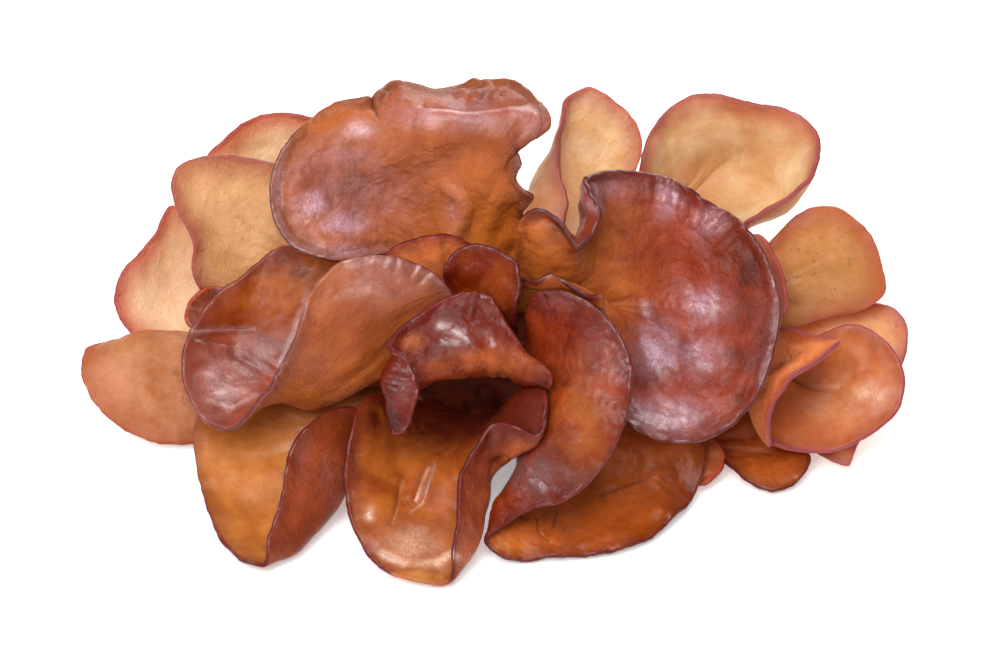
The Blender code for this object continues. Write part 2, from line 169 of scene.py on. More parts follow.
# Rim, heart and folds of each ear: x, y and d on the board, in millimetres. A rim starts and ends
# at the neck and goes once round. A fold is (place along the rim, share of the way from heart to
# rim, point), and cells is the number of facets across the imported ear.
EARS = {
    "ear_upper_left": dict(
        cells=10,
        rim=[
            (-4, 1, -13), (3, 12.5, -11.5), (7.5, 20, -6.5), (6.3, 26.8, -1), (8.8, 31, 3),
            (5, 35, 3.5), (6.2, 38.5, 4.5), (4.9, 43, 2.5), (12.5, 47.5, 3), (8, 55.5, -3),
            (0, 57.7, -8), (-9, 56.2, -9), (-16, 55.6, -7), (-24, 57.2, -6), (-28.5, 54.5, -1),
            (-36, 53, -1), (-45, 47, 2), (-51, 38, 5), (-51.5, 29, 6), (-47, 20, 6), (-38, 16, 5),
            (-29, 17, 1), (-20, 17, -5), (-12, 9, -11), (-9, 0, -15),
        ],
        heart=(-22, 34, -5),
        folds=[(9.5, 0.75, (4, 50, 4)), (11.5, 0.75, (-10, 51, 3))],
    ),
    "ear_upper_right": dict(
        cells=10,
        rim=[
            (2, 2, -11), (3.5, 8, -4), (5, 13, 4), (9, 12, 6), (12.4, 13.6, 6), (17, 11, 7),
            (21, 8.6, 8), (24.3, 9.2, 9), (24.3, 3, 7), (25, -6, 4), (27, -15, 4), (31, -21.7, 6),
            (38, -25.3, 6), (46, -25.5, 6), (54, -22, 5), (61, -14, 4), (64.5, -4, 3), (65.5, 7, 2),
            (62.5, 17, 0), (56, 26, -4), (49, 30, -6), (45, 33, -5), (40, 35.5, -8), (33, 36.7, -7),
            (26, 37, -4), (20, 35.5, 2), (23.8, 27.5, 9), (18.5, 19.3, 11), (15, 25, 6.5),
            (9, 28.3, 5.5), (5.8, 25.5, 5), (4.8, 12, -8.5),
        ],
        heart=(42, 6, -9),
        folds=[(26, 0.85, (20.3, 29, 3)), (29.5, 0.8, (14, 18, 2))],
    ),
    "ear_front_right": dict(
        cells=10,
        rim=[
            (21, -13, -15), (13, -8, -14), (9.5, 1, -1), (10.5, 9.5, 10), (16, 9, 14.5),
            (22, 6, 17.5), (28, 0.5, 20), (32, -8, 21), (31.5, -16, 21), (28, -26, 20),
            (22, -34.5, 18), (16, -39.5, 17), (10, -40.3, 15), (5, -43, 13), (-1.5, -48.5, 10.5),
            (1.5, -52, 10.5), (12, -52, 10), (22, -51.3, 9.5), (33, -48.7, 7), (42, -42.5, 0.3),
            (47, -35, -5), (48.2, -26, -8), (44, -18.5, -9), (33, -14.5, -11),
        ],
        heart=(7, -28, 2.5),
        folds=[
            (8, 0.5, (18, -16, 16.5)), (20, 0.5, (26, -36, -4)),
            (4.5, 0.45, (9, -9, 4.5)), (13.3, 0.6, (1, -39, 8)),
        ],
    ),
    "ear_front_left": dict(
        cells=10,
        rim=[
            (-10, 9.5, 6), (-14, 13.7, 8), (-20, 16.6, 10), (-27, 17.8, 12), (-35, 16.4, 13),
            (-41, 11.4, 14), (-44, 5, 14), (-47, -3, 13), (-51, -10.5, 12), (-55.5, -17.5, 10),
            (-61, -22, 7), (-67, -20.5, 4), (-71, -13.5, 1), (-72, -5, -2), (-69.5, 1.5, -5),
            (-64, 9, -8), (-57, 14, -10), (-50, 19.5, -11), (-40, 20, -12), (-30, 14, -13),
            (-20, 4, -14), (-11, -7, -12), (-9, 1, 0),
        ],
        heart=(-42, -17, -3),
        folds=[(4, 0.5, (-32, -2, 10)), (13.5, 0.55, (-60, -6, -9))],
    ),
    "ear_hood": dict(
        cells=10,
        rim=[
            (3, -9, -12), (4.5, -11, 1), (8, -12, 12.5), (12.3, -13.5, 16.5), (13.2, -10.3, 18),
            (8, -5, 14), (3, 2, 11), (-1, 8, 9), (-6, 9.4, 9), (-13, 7, 10.5), (-20, 1.5, 13),
            (-24.5, -3, 15.5), (-20, -7.5, 20), (-17.6, -14, 20.5), (-20.5, -23, 18),
            (-23, -24, 16), (-21, -15, 8), (-14, -10.5, -4), (-6, -9, -10),
        ],
        heart=(-6, -4, 12),
        folds=[(18, 0.5, (-7, -9.3, 9)), (13, 0.7, (-25.3, -11, 15))],
    ),
    "ear_front_tongue": dict(
        cells=10,
        rim=[
            (1, -18.5, -16), (3, -16, -4), (7.5, -13, 8.5), (11.6, -13.2, 13.5), (12, -17.5, 16),
            (9.5, -23.3, 16), (4, -21, 13.5), (-0.5, -21.3, 12.5), (-4, -26, 13.5), (-8, -33, 15),
            (-9, -43, 17), (-10.3, -52, 17.5), (-10.5, -56.6, 17), (-19, -57.4, 17),
            (-27.5, -53.2, 14.5), (-32.7, -45, 10.5), (-34.7, -34, 8), (-33.6, -24, 5),
            (-31, -16, 1), (-22, -15, -9), (-8, -17, -17),
        ],
        heart=(-17.5, -38.6, 2.5),
        folds=[
            (9, 0.75, (-2, -36, 8)), (11, 0.8, (-5, -49, 13)),
            (5.3, 0.8, (8, -25.5, 14)), (7, 0.75, (0, -27.5, 8)),
        ],
    ),
    "ear_low_left": dict(
        cells=10,
        rim=[
            (-11, -15, -19), (-34, -13, -14), (-50, -12, -15), (-64, -14, -14), (-69, -22, -10),
            (-69, -29, -8), (-67, -38, -2), (-63.5, -47, 6), (-57, -53, 12.7), (-53, -53.7, 14.5),
            (-52.3, -48, 15), (-50, -41, 13), (-48.5, -32, 11), (-45.5, -24, 7.5), (-38, -18, 2),
            (-28, -18, -7), (-12, -20, -18),
        ],
        heart=(-52, -36, -3),
        folds=[
            (11, 0.55, (-38.5, -42, 3)), (9.9, 0.8, (-47, -50, 11)),
            (12.6, 0.5, (-33, -33, -2)),
        ],
    ),
    "ear_far_left": dict(
        cells=7,
        rim=[
            (-16, -15, -26), (-16, -10, -27), (-45, -5, -26), (-60, -2, -28), (-75, -1.5, -28),
            (-88, -2, -27), (-94, -4, -25), (-95, -8, -23), (-93, -15, -21), (-88, -20.5, -20),
            (-80, -24.8, -19.5), (-71, -26, -19), (-60, -24, -19), (-45, -20, -21),
        ],
        heart=(-76, -11, -15),
        folds=[(4, 0.7, (-80, -0.5, -21))],
    ),
    "ear_left_back": dict(
        cells=7,
        rim=[
            (-16, -8, -29), (-14, -4, -30), (-45, 8, -36), (-60, 20, -38), (-70, 28, -38),
            (-75, 29, -37), (-77.5, 23.8, -35), (-82, 18, -35), (-86, 13.5, -34), (-87.5, 6.5, -34),
            (-85, 1, -33), (-78, -4, -33), (-65, -8, -33), (-45, -9, -32),
        ],
        heart=(-70, 8, -41),
    ),
    "ear_left_upper": dict(
        cells=7,
        rim=[
            (-10, -2, -24), (-8, 3, -25), (-28, 16, -24), (-40, 30, -21), (-46, 37, -20),
            (-52, 39.3, -20), (-60, 40.5, -19), (-68, 40.3, -18), (-73.5, 37.5, -17),
            (-74.3, 32, -16), (-72, 25.5, -16), (-69.5, 20, -16), (-69.5, 13, -17), (-67, 9, -19),
            (-55, 4, -23), (-35, -2, -24),
        ],
        heart=(-56, 24, -24),
    ),
    "ear_back_left": dict(
        cells=7,
        rim=[
            (-4, -4, -27), (2, 0, -28), (-15, 25, -31), (-28, 40, -32), (-38, 48, -31),
            (-45, 50.2, -30), (-52, 50.2, -29), (-58, 48, -28), (-63, 44, -27), (-67, 39, -27),
            (-66, 32, -28), (-56, 22, -29), (-36, 10, -29),
        ],
        heart=(-45, 34, -36),
    ),
    "ear_small_left": dict(
        cells=6,
        rim=[
            (-7, -2, -10), (-3, 0, -9), (-2.5, 12, -4), (-4.5, 19, -1), (-8.5, 21.8, 1),
            (-13, 22.9, 2), (-18, 21.3, 3), (-25, 17.8, 4), (-23, 13, 2), (-15, 7, -3),
        ],
        heart=(-13, 13, -2),
    ),
    "ear_small_cup": dict(
        cells=7,
        rim=[
            (-2, -3, -6), (3, -2, -6), (4.6, 6, 8), (5.3, 11, 8.5), (5.1, 15.5, 8), (0.5, 19, 6.5),
            (-4, 20.2, 5.5), (-9, 18.7, 4.5), (-12, 14.5, 3), (-10.5, 9, 1), (-7, 1, -3),
        ],
        heart=(-4, 8, -0.5),
    ),
    "ear_back_spoon": dict(
        cells=7,
        rim=[
            (5, -2, -18), (10, 0, -20), (24, 22, -28), (31, 34, -29), (34, 42, -27),
            (32.5, 48, -25), (28, 52.8, -24), (21.7, 56.3, -22), (17, 53.5, -19), (15.3, 46, -15),
            (14.3, 38, -12), (16.5, 30, -11), (15, 20, -13), (8, 9, -17),
        ],
        heart=(21, 32, -27),
        folds=[(10, 0.7, (9.5, 34, -18)), (11.5, 0.7, (6.5, 26, -17))],
    ),
    "ear_back_right": dict(
        cells=10,
        rim=[
            (10, -3, -22), (15, 1, -24), (45, 13, -19), (56, 24, -14), (63, 28.5, -12),
            (69, 32, -12), (73.5, 37, -13.5), (75, 42, -16), (73.5, 47, -18), (69, 50.3, -20),
            (61, 52.3, -22), (56, 53.8, -23), (51, 55, -23), (45, 54, -23), (39, 50, -22),
            (35, 45, -21), (33, 39, -20), (32, 30, -23), (24, 12, -24),
        ],
        heart=(52, 36, -34),
        folds=[(5, 0.75, (67, 28, -20))],
    ),
    "ear_right_upper": dict(
        cells=7,
        rim=[
            (13, -6, -25.5), (16, -3.5, -26.5), (45, 6.5, -25.5), (58, 15.5, -24.5), (65, 23, -23),
            (71, 28, -22), (77, 29, -21.5), (83, 26, -20), (87.5, 20.5, -19), (89.5, 14, -18),
            (89.8, 8.8, -18.5), (86, 6, -20.5), (76, 3, -21.5), (62, -1, -22), (45, -6, -23.5),
        ],
        heart=(72, 14, -16),
    ),
    "ear_right_middle": dict(
        cells=7,
        rim=[
            (14, -14, -26), (18, -10, -28), (50, -2, -30), (70, 5, -30), (84, 7, -28), (91, 6, -26),
            (94.5, 2, -25), (95, -2, -24.5), (92, -12, -23), (86, -22, -18.5), (82.5, -28, -15.5),
            (81.5, -30.7, -13.8), (77, -29.5, -15), (70, -25, -20), (62, -19.5, -24),
            (45, -16, -26),
        ],
        heart=(74, -12, -28),
    ),
    "ear_right_lower": dict(
        cells=10,
        rim=[
            (12, -14.5, -19), (15, -9.5, -20.5), (52, -8.5, -19), (66, -5, -19), (75, -0.5, -18.5),
            (82.5, 1.8, -18), (90, -2, -16), (94.3, -10, -13.5), (93, -17, -12), (87, -23.5, -10.5),
            (79, -27, -9.5), (70, -27.3, -9), (64.5, -26, -6), (63, -26.5, -3), (63.8, -19, 0),
            (67, -12.5, 1.5), (73, -7.5, 1), (79.3, -2, -2), (74, -0.8, -6), (66, 0.5, -11),
            (56, -4, -12.5), (40, -13.5, -14.5),
        ],
        heart=(76, -14, -20),
        folds=[(15, 0.8, (60, -14, -8))],
    ),
    "ear_right_bottom": dict(
        cells=7,
        rim=[
            (8, -23.5, -20.5), (10, -20.5, -22), (45, -18, -20), (59, -18.5, -18.5), (70, -26, -16),
            (72.5, -28.5, -13.5), (71, -33, -9.7), (64, -36.3, -7.2), (57, -34, -9.7),
            (53, -30.5, -12.7), (42, -28, -16.5),
        ],
        heart=(60, -28.5, -16.5),
    ),
    "ear_right_inner": dict(
        cells=7,
        rim=[
            (12, -3, -18.5), (15, 2, -18.5), (45, 14, -13), (55, 21, -11), (61, 22.5, -9.5),
            (65.5, 16, -8), (67.3, 9, -7), (66.8, 4, -6), (62, 0, -7), (48, -4, -11.5),
        ],
        heart=(54, 7, -15),
    ),
    "ear_small_right": dict(
        cells=7,
        rim=[
            (7, -24, -16), (9, -21.5, -17), (40, -23, -13.5), (50, -24, -12), (53, -28, -10.5),
            (51.5, -33, -9), (47.5, -35.6, -8), (42, -34, -9.5), (28, -27, -15),
        ],
        heart=(42, -28, -14),
    ),
    "ear_left_inner": dict(
        cells=7,
        rim=[
            (-16, -9, -15), (-16, -5, -17), (-45, 5, -16.5), (-60, 9.5, -16), (-66, 10.5, -15.5),
            (-70.5, 7, -15), (-71, 2, -14.5), (-66, -1, -14), (-45, -5, -14),
        ],
        heart=(-55, 3, -17.5),
    ),
}


def flesh_look(slot, inner, blush, rim, outer=None, **changes):
    """How an ear looks. Colours are written as on a paint card; inner and outer, the colours of its
    two sides, each hold a deep and a light one. turned is 1 where the outer side is the one that
    the sheet's normal leaves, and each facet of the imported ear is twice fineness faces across.
    patches are (paint, x, y, half width, half height, strength), strokes are (paint, path, width,
    strength) and creases are (path, width, rise), drawn on the board in millimetres.
    """
    plain = dict(
        slot=slot, inner=inner, outer=outer or inner, blush=blush, rim=rim, edge="481C1C",
        turned=1, fineness=6, fold=1.0, dimple=1.0, crinkle=1.0, lip=0.0,
        patches=(), strokes=(), creases=(),
        rim_width=1.0, blush_reach=6.0, blush_share=0.5, streaks=0.5,
        specks=0.35, leather=0.4, neck=inner[0], neck_reach=24.0, neck_share=0.5,
        amber="B4661F", dark="4A1A12", bloom="B88A8C", bloom_share=0.3,
        wet=0.08, rim_wet=0.35, bloom_wet=0.85, speckle=0.3, coat_rough=0.24, glow=0.3,
    )
    return {**plain, **changes}


# The pale ears: their light peach colours are a painted glow of the light that shines through the
# thin flesh from behind.
PALE = dict(
    edge="8A3A3A", glow=0.45, blush_reach=8.0, blush_share=0.8, rim_width=1.2, dimple=0.7,
    crinkle=0.35, wet=0.04, rim_wet=0.15, streaks=0.3, leather=0.15, specks=0.15,
)
PALE_SPECKLED = {**PALE, "specks": 0.8}
SMOOTH = dict(fold=0.5, dimple=0.5, crinkle=0.25)

# Lines on the board that are both painted and creased: painted shade down the grooves, and
# painted highlights and amber along the ridges
TOP_NOTCH = ((-28.3, 54.3), (-27.9, 52), (-27, 49.5))
TOP_GROOVE = ((-16.1, 51.5), (-8.3, 50.8), (0.5, 51.1), (6.8, 52.3))
TOP_RIDGE = ((-3, 38), (-1, 30), (-3, 20))
FRONT_SLIT = ((9.4, -43), (9.9, -46.5), (12, -48))
LOBE_RIDGE = ((-70, 0.2), (-63, 0.8), (-55.5, 0.7))
TONGUE_VEIN = ((-13.6, -31.3), (-15, -36), (-16.8, -39.8), (-19.6, -41.9))
TONGUE_SIDE_VEIN = ((-21.9, -35.2), (-22.6, -39.8), (-24, -44.6))

LOOKS = {
    # The big left ear. Its dark paint is painted shade in the notch and grooves and over the top
    # flap, with darker flesh along the right rim; its pale strokes and patches are painted
    # highlights on its fuzz, and its amber is partly a painted glow through the thin flesh.
    "ear_upper_left": flesh_look(
        "chestnut_flesh", ("8E4A30", "A9603F"), "5A321A", "7F4632", outer=("8A421E", "A8592C"),
        fineness=9, lip=0.7, neck="BC6A20", neck_reach=42.0, neck_share=0.85,
        amber="A8581A", dark="5A2622", bloom="CC9CA6", bloom_share=0.75, bloom_wet=0.7,
        patches=(
            ("amber", -5, 30, 5, 12, 1.0), ("amber", -3, 33, 13, 12, 0.6),
            ("amber", -38, 49, 13, 4, 1.3), ("amber", -18, 46, 12, 5, 0.5),
            ("bloom", -31, 46.5, 3.6, 2.4, 0.8), ("bloom", -42.5, 29, 3.6, 3.6, 1.4),
            ("bloom", -35, 25, 5.5, 3.4, 1.5), ("bloom", -33, 18, 11, 2.2, 1.0),
            ("bloom", -50, 33, 1.6, 10, 0.8), ("bloom", -31, 31, 17, 11, 0.4),
            ("bloom", -34, 40, 9, 4, 0.4), ("dark", -4, 53, 17, 4, 0.5),
            ("bloom", -10, 49.5, 14, 3, 0.6), ("bloom", 8, 49, 5, 4, 0.6),
            ("amber", -20, 40, 8, 5, 0.7), ("amber", 3, 25, 5, 7, 1.0),
            ("amber", -14, 34, 9, 10, 0.6), ("amber", -25, 26, 7, 5, 0.4),
            ("bloom", -9, 27, 2.5, 6, 0.6), ("dark", 7, 35, 3.5, 9, 1.0),
        ),
        strokes=(
            ("bloom", ((-48.4, 44), (-50.4, 36.6), (-50.8, 29.5), (-49, 23.3), (-45.3, 18.8),
                       (-38.9, 16.4), (-30, 17.6)), 1.1, 0.9),
            ("bloom", ((-38.9, 23.2), (-35, 25.5), (-31, 24.7), (-32, 22.5)), 1.4, 1.0),
            ("dark", TOP_NOTCH, 0.7, 0.8), ("dark", TOP_GROOVE, 0.7, 0.45),
            ("dark", ((6.5, 26), (8.6, 31), (5.2, 35), (6.2, 38.5), (5, 42)), 1.5, 1.2),
            ("amber", ((2, 10), (6, 20)), 1.8, 1.4), ("amber", TOP_RIDGE, 2.0, 1.0),
        ),
        creases=(
            (((-11, 33.7), (-7.5, 31.5), (-6.4, 28.7), (-7, 26), (-8.9, 22.9)), 1.2, 1.1),
            (((-21.6, 55.4), (-14.5, 54.7), (-10.6, 54.7), (-3.5, 53.8)), 0.8, 0.6),
            (((-4.4, 56.6), (-8.3, 53.6)), 0.7, 0.7), (((-1.2, 55.9), (-5.1, 52.7)), 0.7, 0.7),
            (((2.8, 55.9), (-0.2, 53.1)), 0.7, 0.6), (TOP_GROOVE, 0.9, -1.2),
            (((-16.1, 49.5), (-5, 49.2), (4.4, 49.9), (9, 48.8)), 1.3, 0.8),
            (TOP_NOTCH, 0.8, -1.2), (TOP_RIDGE, 2.6, 0.9),
            (((2, 40), (3, 32), (1, 24)), 1.8, -0.7),
        ),
    ),
    # The big right ear. Its dark patches are the curl's darker underside with painted shade in it,
    # and painted shade down the right side; its pale patches and strokes are painted highlights, and
    # its amber waist is partly a painted glow through the flesh.
    "ear_upper_right": flesh_look(
        "mahogany_flesh", ("731206", "9B2109"), "581A0E", "661A0C", outer=("6E2410", "983A1C"),
        fineness=9, lip=0.6, neck="C8742E", neck_reach=34.0, neck_share=0.9, leather=0.25,
        amber="B4622A", dark="3A100C", bloom="C49EAC", bloom_share=0.65, bloom_wet=0.75,
        patches=(
            ("amber", 8, 20, 9, 9, 1.0), ("amber", 25, 20, 6, 11, 0.8),
            ("amber", 28, 9, 8, 8, 0.8), ("amber", 30, 26, 5, 8, 0.5),
            ("dark", 9, 28, 5, 2.2, 0.9), ("dark", 15, 25, 2.5, 4, 0.8),
            ("dark", 20.5, 26, 3, 8, 0.7), ("dark", 58, 12, 5, 15, 0.6),
            ("bloom", 37, -4, 4.5, 5.5, 1.4), ("bloom", 48, 6, 5, 4, 1.2),
            ("bloom", 47, -6, 5, 4, 1.0), ("bloom", 39, -20, 9, 4.5, 1.3),
            ("bloom", 40, 31, 3, 4, 1.1), ("bloom", 49.5, 26, 4, 3, 0.9),
            ("bloom", 27, 34, 5, 3, 0.6),
        ),
        strokes=(
            ("bloom", ((34.5, 5.5), (35.4, 1.5)), 1.3, 0.9),
            ("dark", ((32.6, 5), (32.8, -0.5)), 1.0, 0.25),
            ("dark", ((38, 0.6), (45, -6.6)), 1.3, 0.3),
            ("bloom", ((34.6, -2), (36, -5), (40, -7)), 2.2, 1.2),
            ("amber", ((4.6, 10), (5.2, 26)), 1.8, 1.4),
            ("bloom", ((64, 16), (65, 8), (64.2, -2), (61.5, -12)), 1.1, 0.7),
            ("bloom", ((22, 34), (23.5, 28.5)), 1.3, 0.7),
        ),
        creases=(
            (((35, -1), (38, -4.5), (43, -8)), 3.0, 0.6),
            (((24, 9), (28, 2), (25, -6)), 2.4, -0.6),
            (((44, 34), (43, 27)), 0.9, 0.9), (((48, 32), (46, 25)), 0.9, 0.9),
            (((40, 35.5), (39, 30)), 0.8, 0.7), (((53, 28), (48.5, 23)), 1.0, 0.8),
            (((35.5, 36.5), (35, 31)), 0.8, 0.6), (((57, 24), (52, 19)), 1.0, 0.7),
            (((46, 20), (50, 10), (49, 0)), 2.4, 0.5),
        ),
    ),
    # The shell in front. Its dark patches and slits are painted shade low on the shell and in the
    # slits, and its pale patches are painted highlights.
    "ear_front_right": flesh_look(
        "mahogany_flesh", ("98420E", "B65618"), "450E05", "661608", outer=("641604", "8E300C"),
        fineness=9, turned=-1, neck="8A3A14",
        patches=(
            ("bloom", 16, 7.5, 5, 3, 0.4), ("bloom", 27, -5, 4.5, 12, 0.45),
            ("bloom", 10, -33, 5, 4, 0.9), ("dark", 10, -33, 8, 7, 0.9),
            ("amber", 21, -22, 7, 13, 0.5), ("amber", 3, -49.5, 6, 2, 0.9),
            ("dark", 40, -36, 8, 6, 0.4), ("dark", 8, -43, 6, 1.5, 0.7),
        ),
        strokes=(
            ("dark", FRONT_SLIT, 0.35, 0.9), ("dark", ((14, -42), (13.2, -45)), 0.35, 0.8),
            ("dark", ((24, -38), (34, -34.5)), 0.5, 0.6),
        ),
        creases=((FRONT_SLIT, 0.5, -0.5),),
    ),
    # The ear in front on the left. Its pale patches and strokes are painted highlights, the wet pool
    # low on the left among them; its dark strokes are painted shade along the creases, and its amber
    # is partly a painted glow through the flesh.
    "ear_front_left": flesh_look(
        "chestnut_flesh", ("6A1D01", "903405"), "6E3A30", "864032", outer=("8C4222", "A65A2E"),
        fineness=9, fold=0.45, crinkle=0.5, neck="8A3A14", amber="A4541A",
        bloom="C0948E", bloom_share=0.65, bloom_wet=0.75,
        patches=(
            ("bloom", -62, -11, 8, 7, 0.9), ("bloom", -56, -6, 7, 5, 0.5),
            ("bloom", -64, -14, 3, 3, 1.3), ("bloom", -18, 14.5, 8, 1.8, 0.9),
            ("bloom", -26, 12, 12, 5, 0.8),
            ("amber", -30, -9, 13, 6, 1.0), ("amber", -50, 9, 12, 6.5, 1.2),
            ("amber", -38, 14, 8, 6, 1.3), ("amber", -44, -14, 6, 5, 0.8),
        ),
        strokes=(
            ("bloom", ((-34, 15.5), (-27, 16.8), (-20, 15.6), (-14, 12.8), (-11, 10)), 1.3, 1.2),
            ("bloom", ((-43, 9), (-46, 0), (-50, -9)), 0.9, 0.7),
            ("bloom", LOBE_RIDGE, 0.9, 1.2),
            ("bloom", ((-69.3, -1.8), (-64, -3), (-60.3, -3.4)), 0.5, 1.0),
            ("dark", ((-69, -0.8), (-62, -0.5), (-57, -0.6)), 0.4, 0.7),
            ("dark", ((-57, -6), (-53, -8), (-50, -10)), 0.5, 0.5),
            ("bloom", ((-66, -16), (-61, -18.5), (-55, -15)), 0.9, 1.0),
        ),
        creases=(
            (LOBE_RIDGE, 1.0, 0.6),
            (((-69, -1.9), (-64, -3), (-60, -3.4)), 0.7, 0.35),
            (((-58, -5), (-53, -8), (-50, -10)), 0.8, -0.3),
            (((-66, -9), (-60, -12), (-54, -12)), 1.0, 0.4), (((-14, 13), (-16, 11)), 1.0, 0.5),
            (((-17, 15), (-18.5, 12.5)), 0.7, 0.5), (((-21.4, 16), (-22, 13)), 1.1, 0.5),
            (((-24, 16.5), (-25.2, 14.5)), 0.6, 0.4),
        ),
    ),
    # The hood. Its very dark inner colours, dark neck and dark patches are painted shade of the
    # hollow under it; its pale strokes are painted highlights, and its amber is painted light where
    # light falls on its lower middle.
    "ear_hood": flesh_look(
        "mahogany_flesh", ("370601", "6C1A03"), "5E180E", "741C0E", outer=("5C1206", "74200C"),
        fineness=9, neck="6A2010", amber="A85426", dark="2A0A08", coat_rough=0.14,
        patches=(
            ("bloom", -5, 7, 2.5, 1.5, 0.4), ("bloom", -21, -13, 2.0, 6, 0.4),
            ("amber", 1, -7, 11, 3.6, 1.0), ("amber", -19.5, -2.5, 3, 2.2, 0.8),
            ("amber", -13, -8, 5, 2, 0.5), ("dark", -10, 4, 6, 2.5, 0.3),
            ("dark", 11, -13, 4, 2, 0.7),
        ),
        strokes=(
            ("bloom", ((-12.4, 1.4), (-9, 0.2), (-5.6, -2)), 1.1, 1.0),
            ("bloom", ((-12, -2.4), (-8.5, -2.6)), 0.8, 1.0),
            ("bloom", ((-1.4, -0.5), (-0.4, -3)), 0.6, 0.9),
            ("bloom", ((-22.6, -8.5), (-19.6, -8.9)), 0.5, 0.8),
            ("bloom", ((-22.6, -11.2), (-19.2, -11.6)), 0.5, 0.8),
        ),
        creases=(
            (((-24, -6), (-19, -7)), 0.8, 0.5), (((-24, -9), (-19, -10)), 0.8, 0.5),
            (((-23.5, -12), (-18.5, -13)), 0.8, 0.4), (((-5, 8), (-6, 3)), 0.9, 0.6),
        ),
    ),
    # The tongue. Its dark neck and its dark patches high up are painted shadow under the hood and in
    # the pocket beside it; its pale bottom and veins are painted highlights, and the amber along its
    # bottom rim is a painted glow in the wet edge.
    "ear_front_tongue": flesh_look(
        "amber_flesh", ("934212", "BA6425"), "571A0F", "691101", outer=("863721", "AD5832"),
        **SMOOTH, fineness=9, neck="5A1C0C", neck_reach=30.0, neck_share=0.95, amber="C07A38",
        dark="5E1E0E", bloom="E2B496", bloom_share=0.7, rim_wet=0.3, coat_rough=0.16,
        patches=(
            ("bloom", -19, -49.5, 7, 4, 1.0), ("bloom", -29, -42, 1.2, 2, 1.1),
            ("dark", 6, -18, 9, 6, 2.4), ("dark", -10, -15, 22, 7, 2.2),
            ("dark", -13, -20, 20, 6, 1.6), ("dark", -33, -28, 3, 12, 0.8),
            ("dark", 1, -30, 3, 3, 1.0), ("amber", -19, -57, 10, 2, 1.4),
        ),
        strokes=(
            ("bloom", ((-26, -51), (-21, -53.6), (-14, -53.8), (-9.5, -51.5)), 1.0, 1.5),
            ("bloom", TONGUE_VEIN, 0.6, 1.0),
            ("bloom", ((-15.2, -32), (-18.2, -39)), 0.35, 0.9),
            ("bloom", TONGUE_SIDE_VEIN, 0.5, 0.9),
            ("dark", ((-18, -27.5), (-13, -29), (-10.5, -28)), 0.35, 0.5),
        ),
        creases=(
            (TONGUE_VEIN, 0.8, 0.5), (TONGUE_SIDE_VEIN, 0.8, 0.4),
            (((-17, -31), (-19.5, -38)), 0.9, -0.4),
        ),
    ),
    # Its pale patches are painted highlights on its outer wall.
    "ear_low_left": flesh_look(
        "amber_flesh", ("AC6228", "C47A38"), "6A301E", "702009", outer=("7A2E10", "9C4218"),
        **SMOOTH, turned=-1, neck="8A3A14", bloom="A87468", rim_width=0.8,
        patches=(("bloom", -38.5, -35, 3, 7, 1.0), ("bloom", -45, -28, 3, 9, 0.6)),
    ),
    "ear_far_left": flesh_look(
        "amber_flesh", ("A35F2D", "BC7E59"), "8B3412", "8A330D",
        blush_reach=10.0, neck="B9652B",
    ),
    "ear_left_back": flesh_look("peach_flesh", ("D0A67C", "E0C29C"), "AA4C38", "94463A", **PALE),
    "ear_left_upper": flesh_look(
        "peach_flesh", ("C08A54", "D8A878"), "98543C", "8E5240", **PALE,
        neck="C46A35",
    ),
    "ear_back_left": flesh_look("peach_flesh", ("D2AA76", "E2CCA2"), "B05238", "904234", **PALE),
    "ear_small_left": flesh_look("chestnut_flesh", ("C16836", "D97944"), "671E15", "832820"),
    "ear_small_cup": flesh_look("mahogany_flesh", ("731F04", "954006"), "520C04", "651414"),
    "ear_back_spoon": flesh_look(
        "peach_flesh", ("E0A876", "ECC698"), "AA6256", "AE6A56", outer=("DEAE72", "ECD2A4"), **PALE,
        neck="CC6A35", neck_reach=30.0,
    ),
    "ear_back_right": flesh_look(
        "peach_flesh", ("CC9C68", "DCC094"), "A45038", "94564E", outer=("E0B682", "EAD2AA"), **PALE,
        turned=-1, neck="D98B52", neck_reach=34.0,
    ),
    "ear_right_upper": flesh_look(
        "peach_flesh", ("B0763F", "C08754"), "A05234", "9C5844",
        **PALE_SPECKLED,
    ),
    "ear_right_middle": flesh_look(
        "peach_flesh", ("D89C5E", "E6BC84"), "A85748", "986258",
        **PALE_SPECKLED,
        neck="D0702E",
    ),
    # The cup on the right. Its pale patches are a painted highlight inside the cup.
    "ear_right_lower": flesh_look(
        "amber_flesh", ("AE5422", "CA743C"), "7A3028", "9C463A", outer=("D8743E", "EA9860"),
        **SMOOTH, neck="BC5C26", edge="7E3A44", bloom="F0C8A8", bloom_share=0.6, rim_wet=0.25,
        speckle=0.0,
        patches=(("bloom", 86, -14.5, 4, 3, 1.0), ("bloom", 80, -17, 8, 6, 0.5)),
    ),
    "ear_right_bottom": flesh_look("amber_flesh", ("A64A14", "C26224"), "67341B", "6E2808"),
    "ear_right_inner": flesh_look("peach_flesh", ("CE8A50", "DCA070"), "A05040", "A05040", **PALE),
    "ear_small_right": flesh_look("amber_flesh", ("B85830", "D07840"), "963A21", "AE3F1D"),
    "ear_left_inner": flesh_look("chestnut_flesh", ("742C13", "96441E"), "400602", "AB4115"),
}


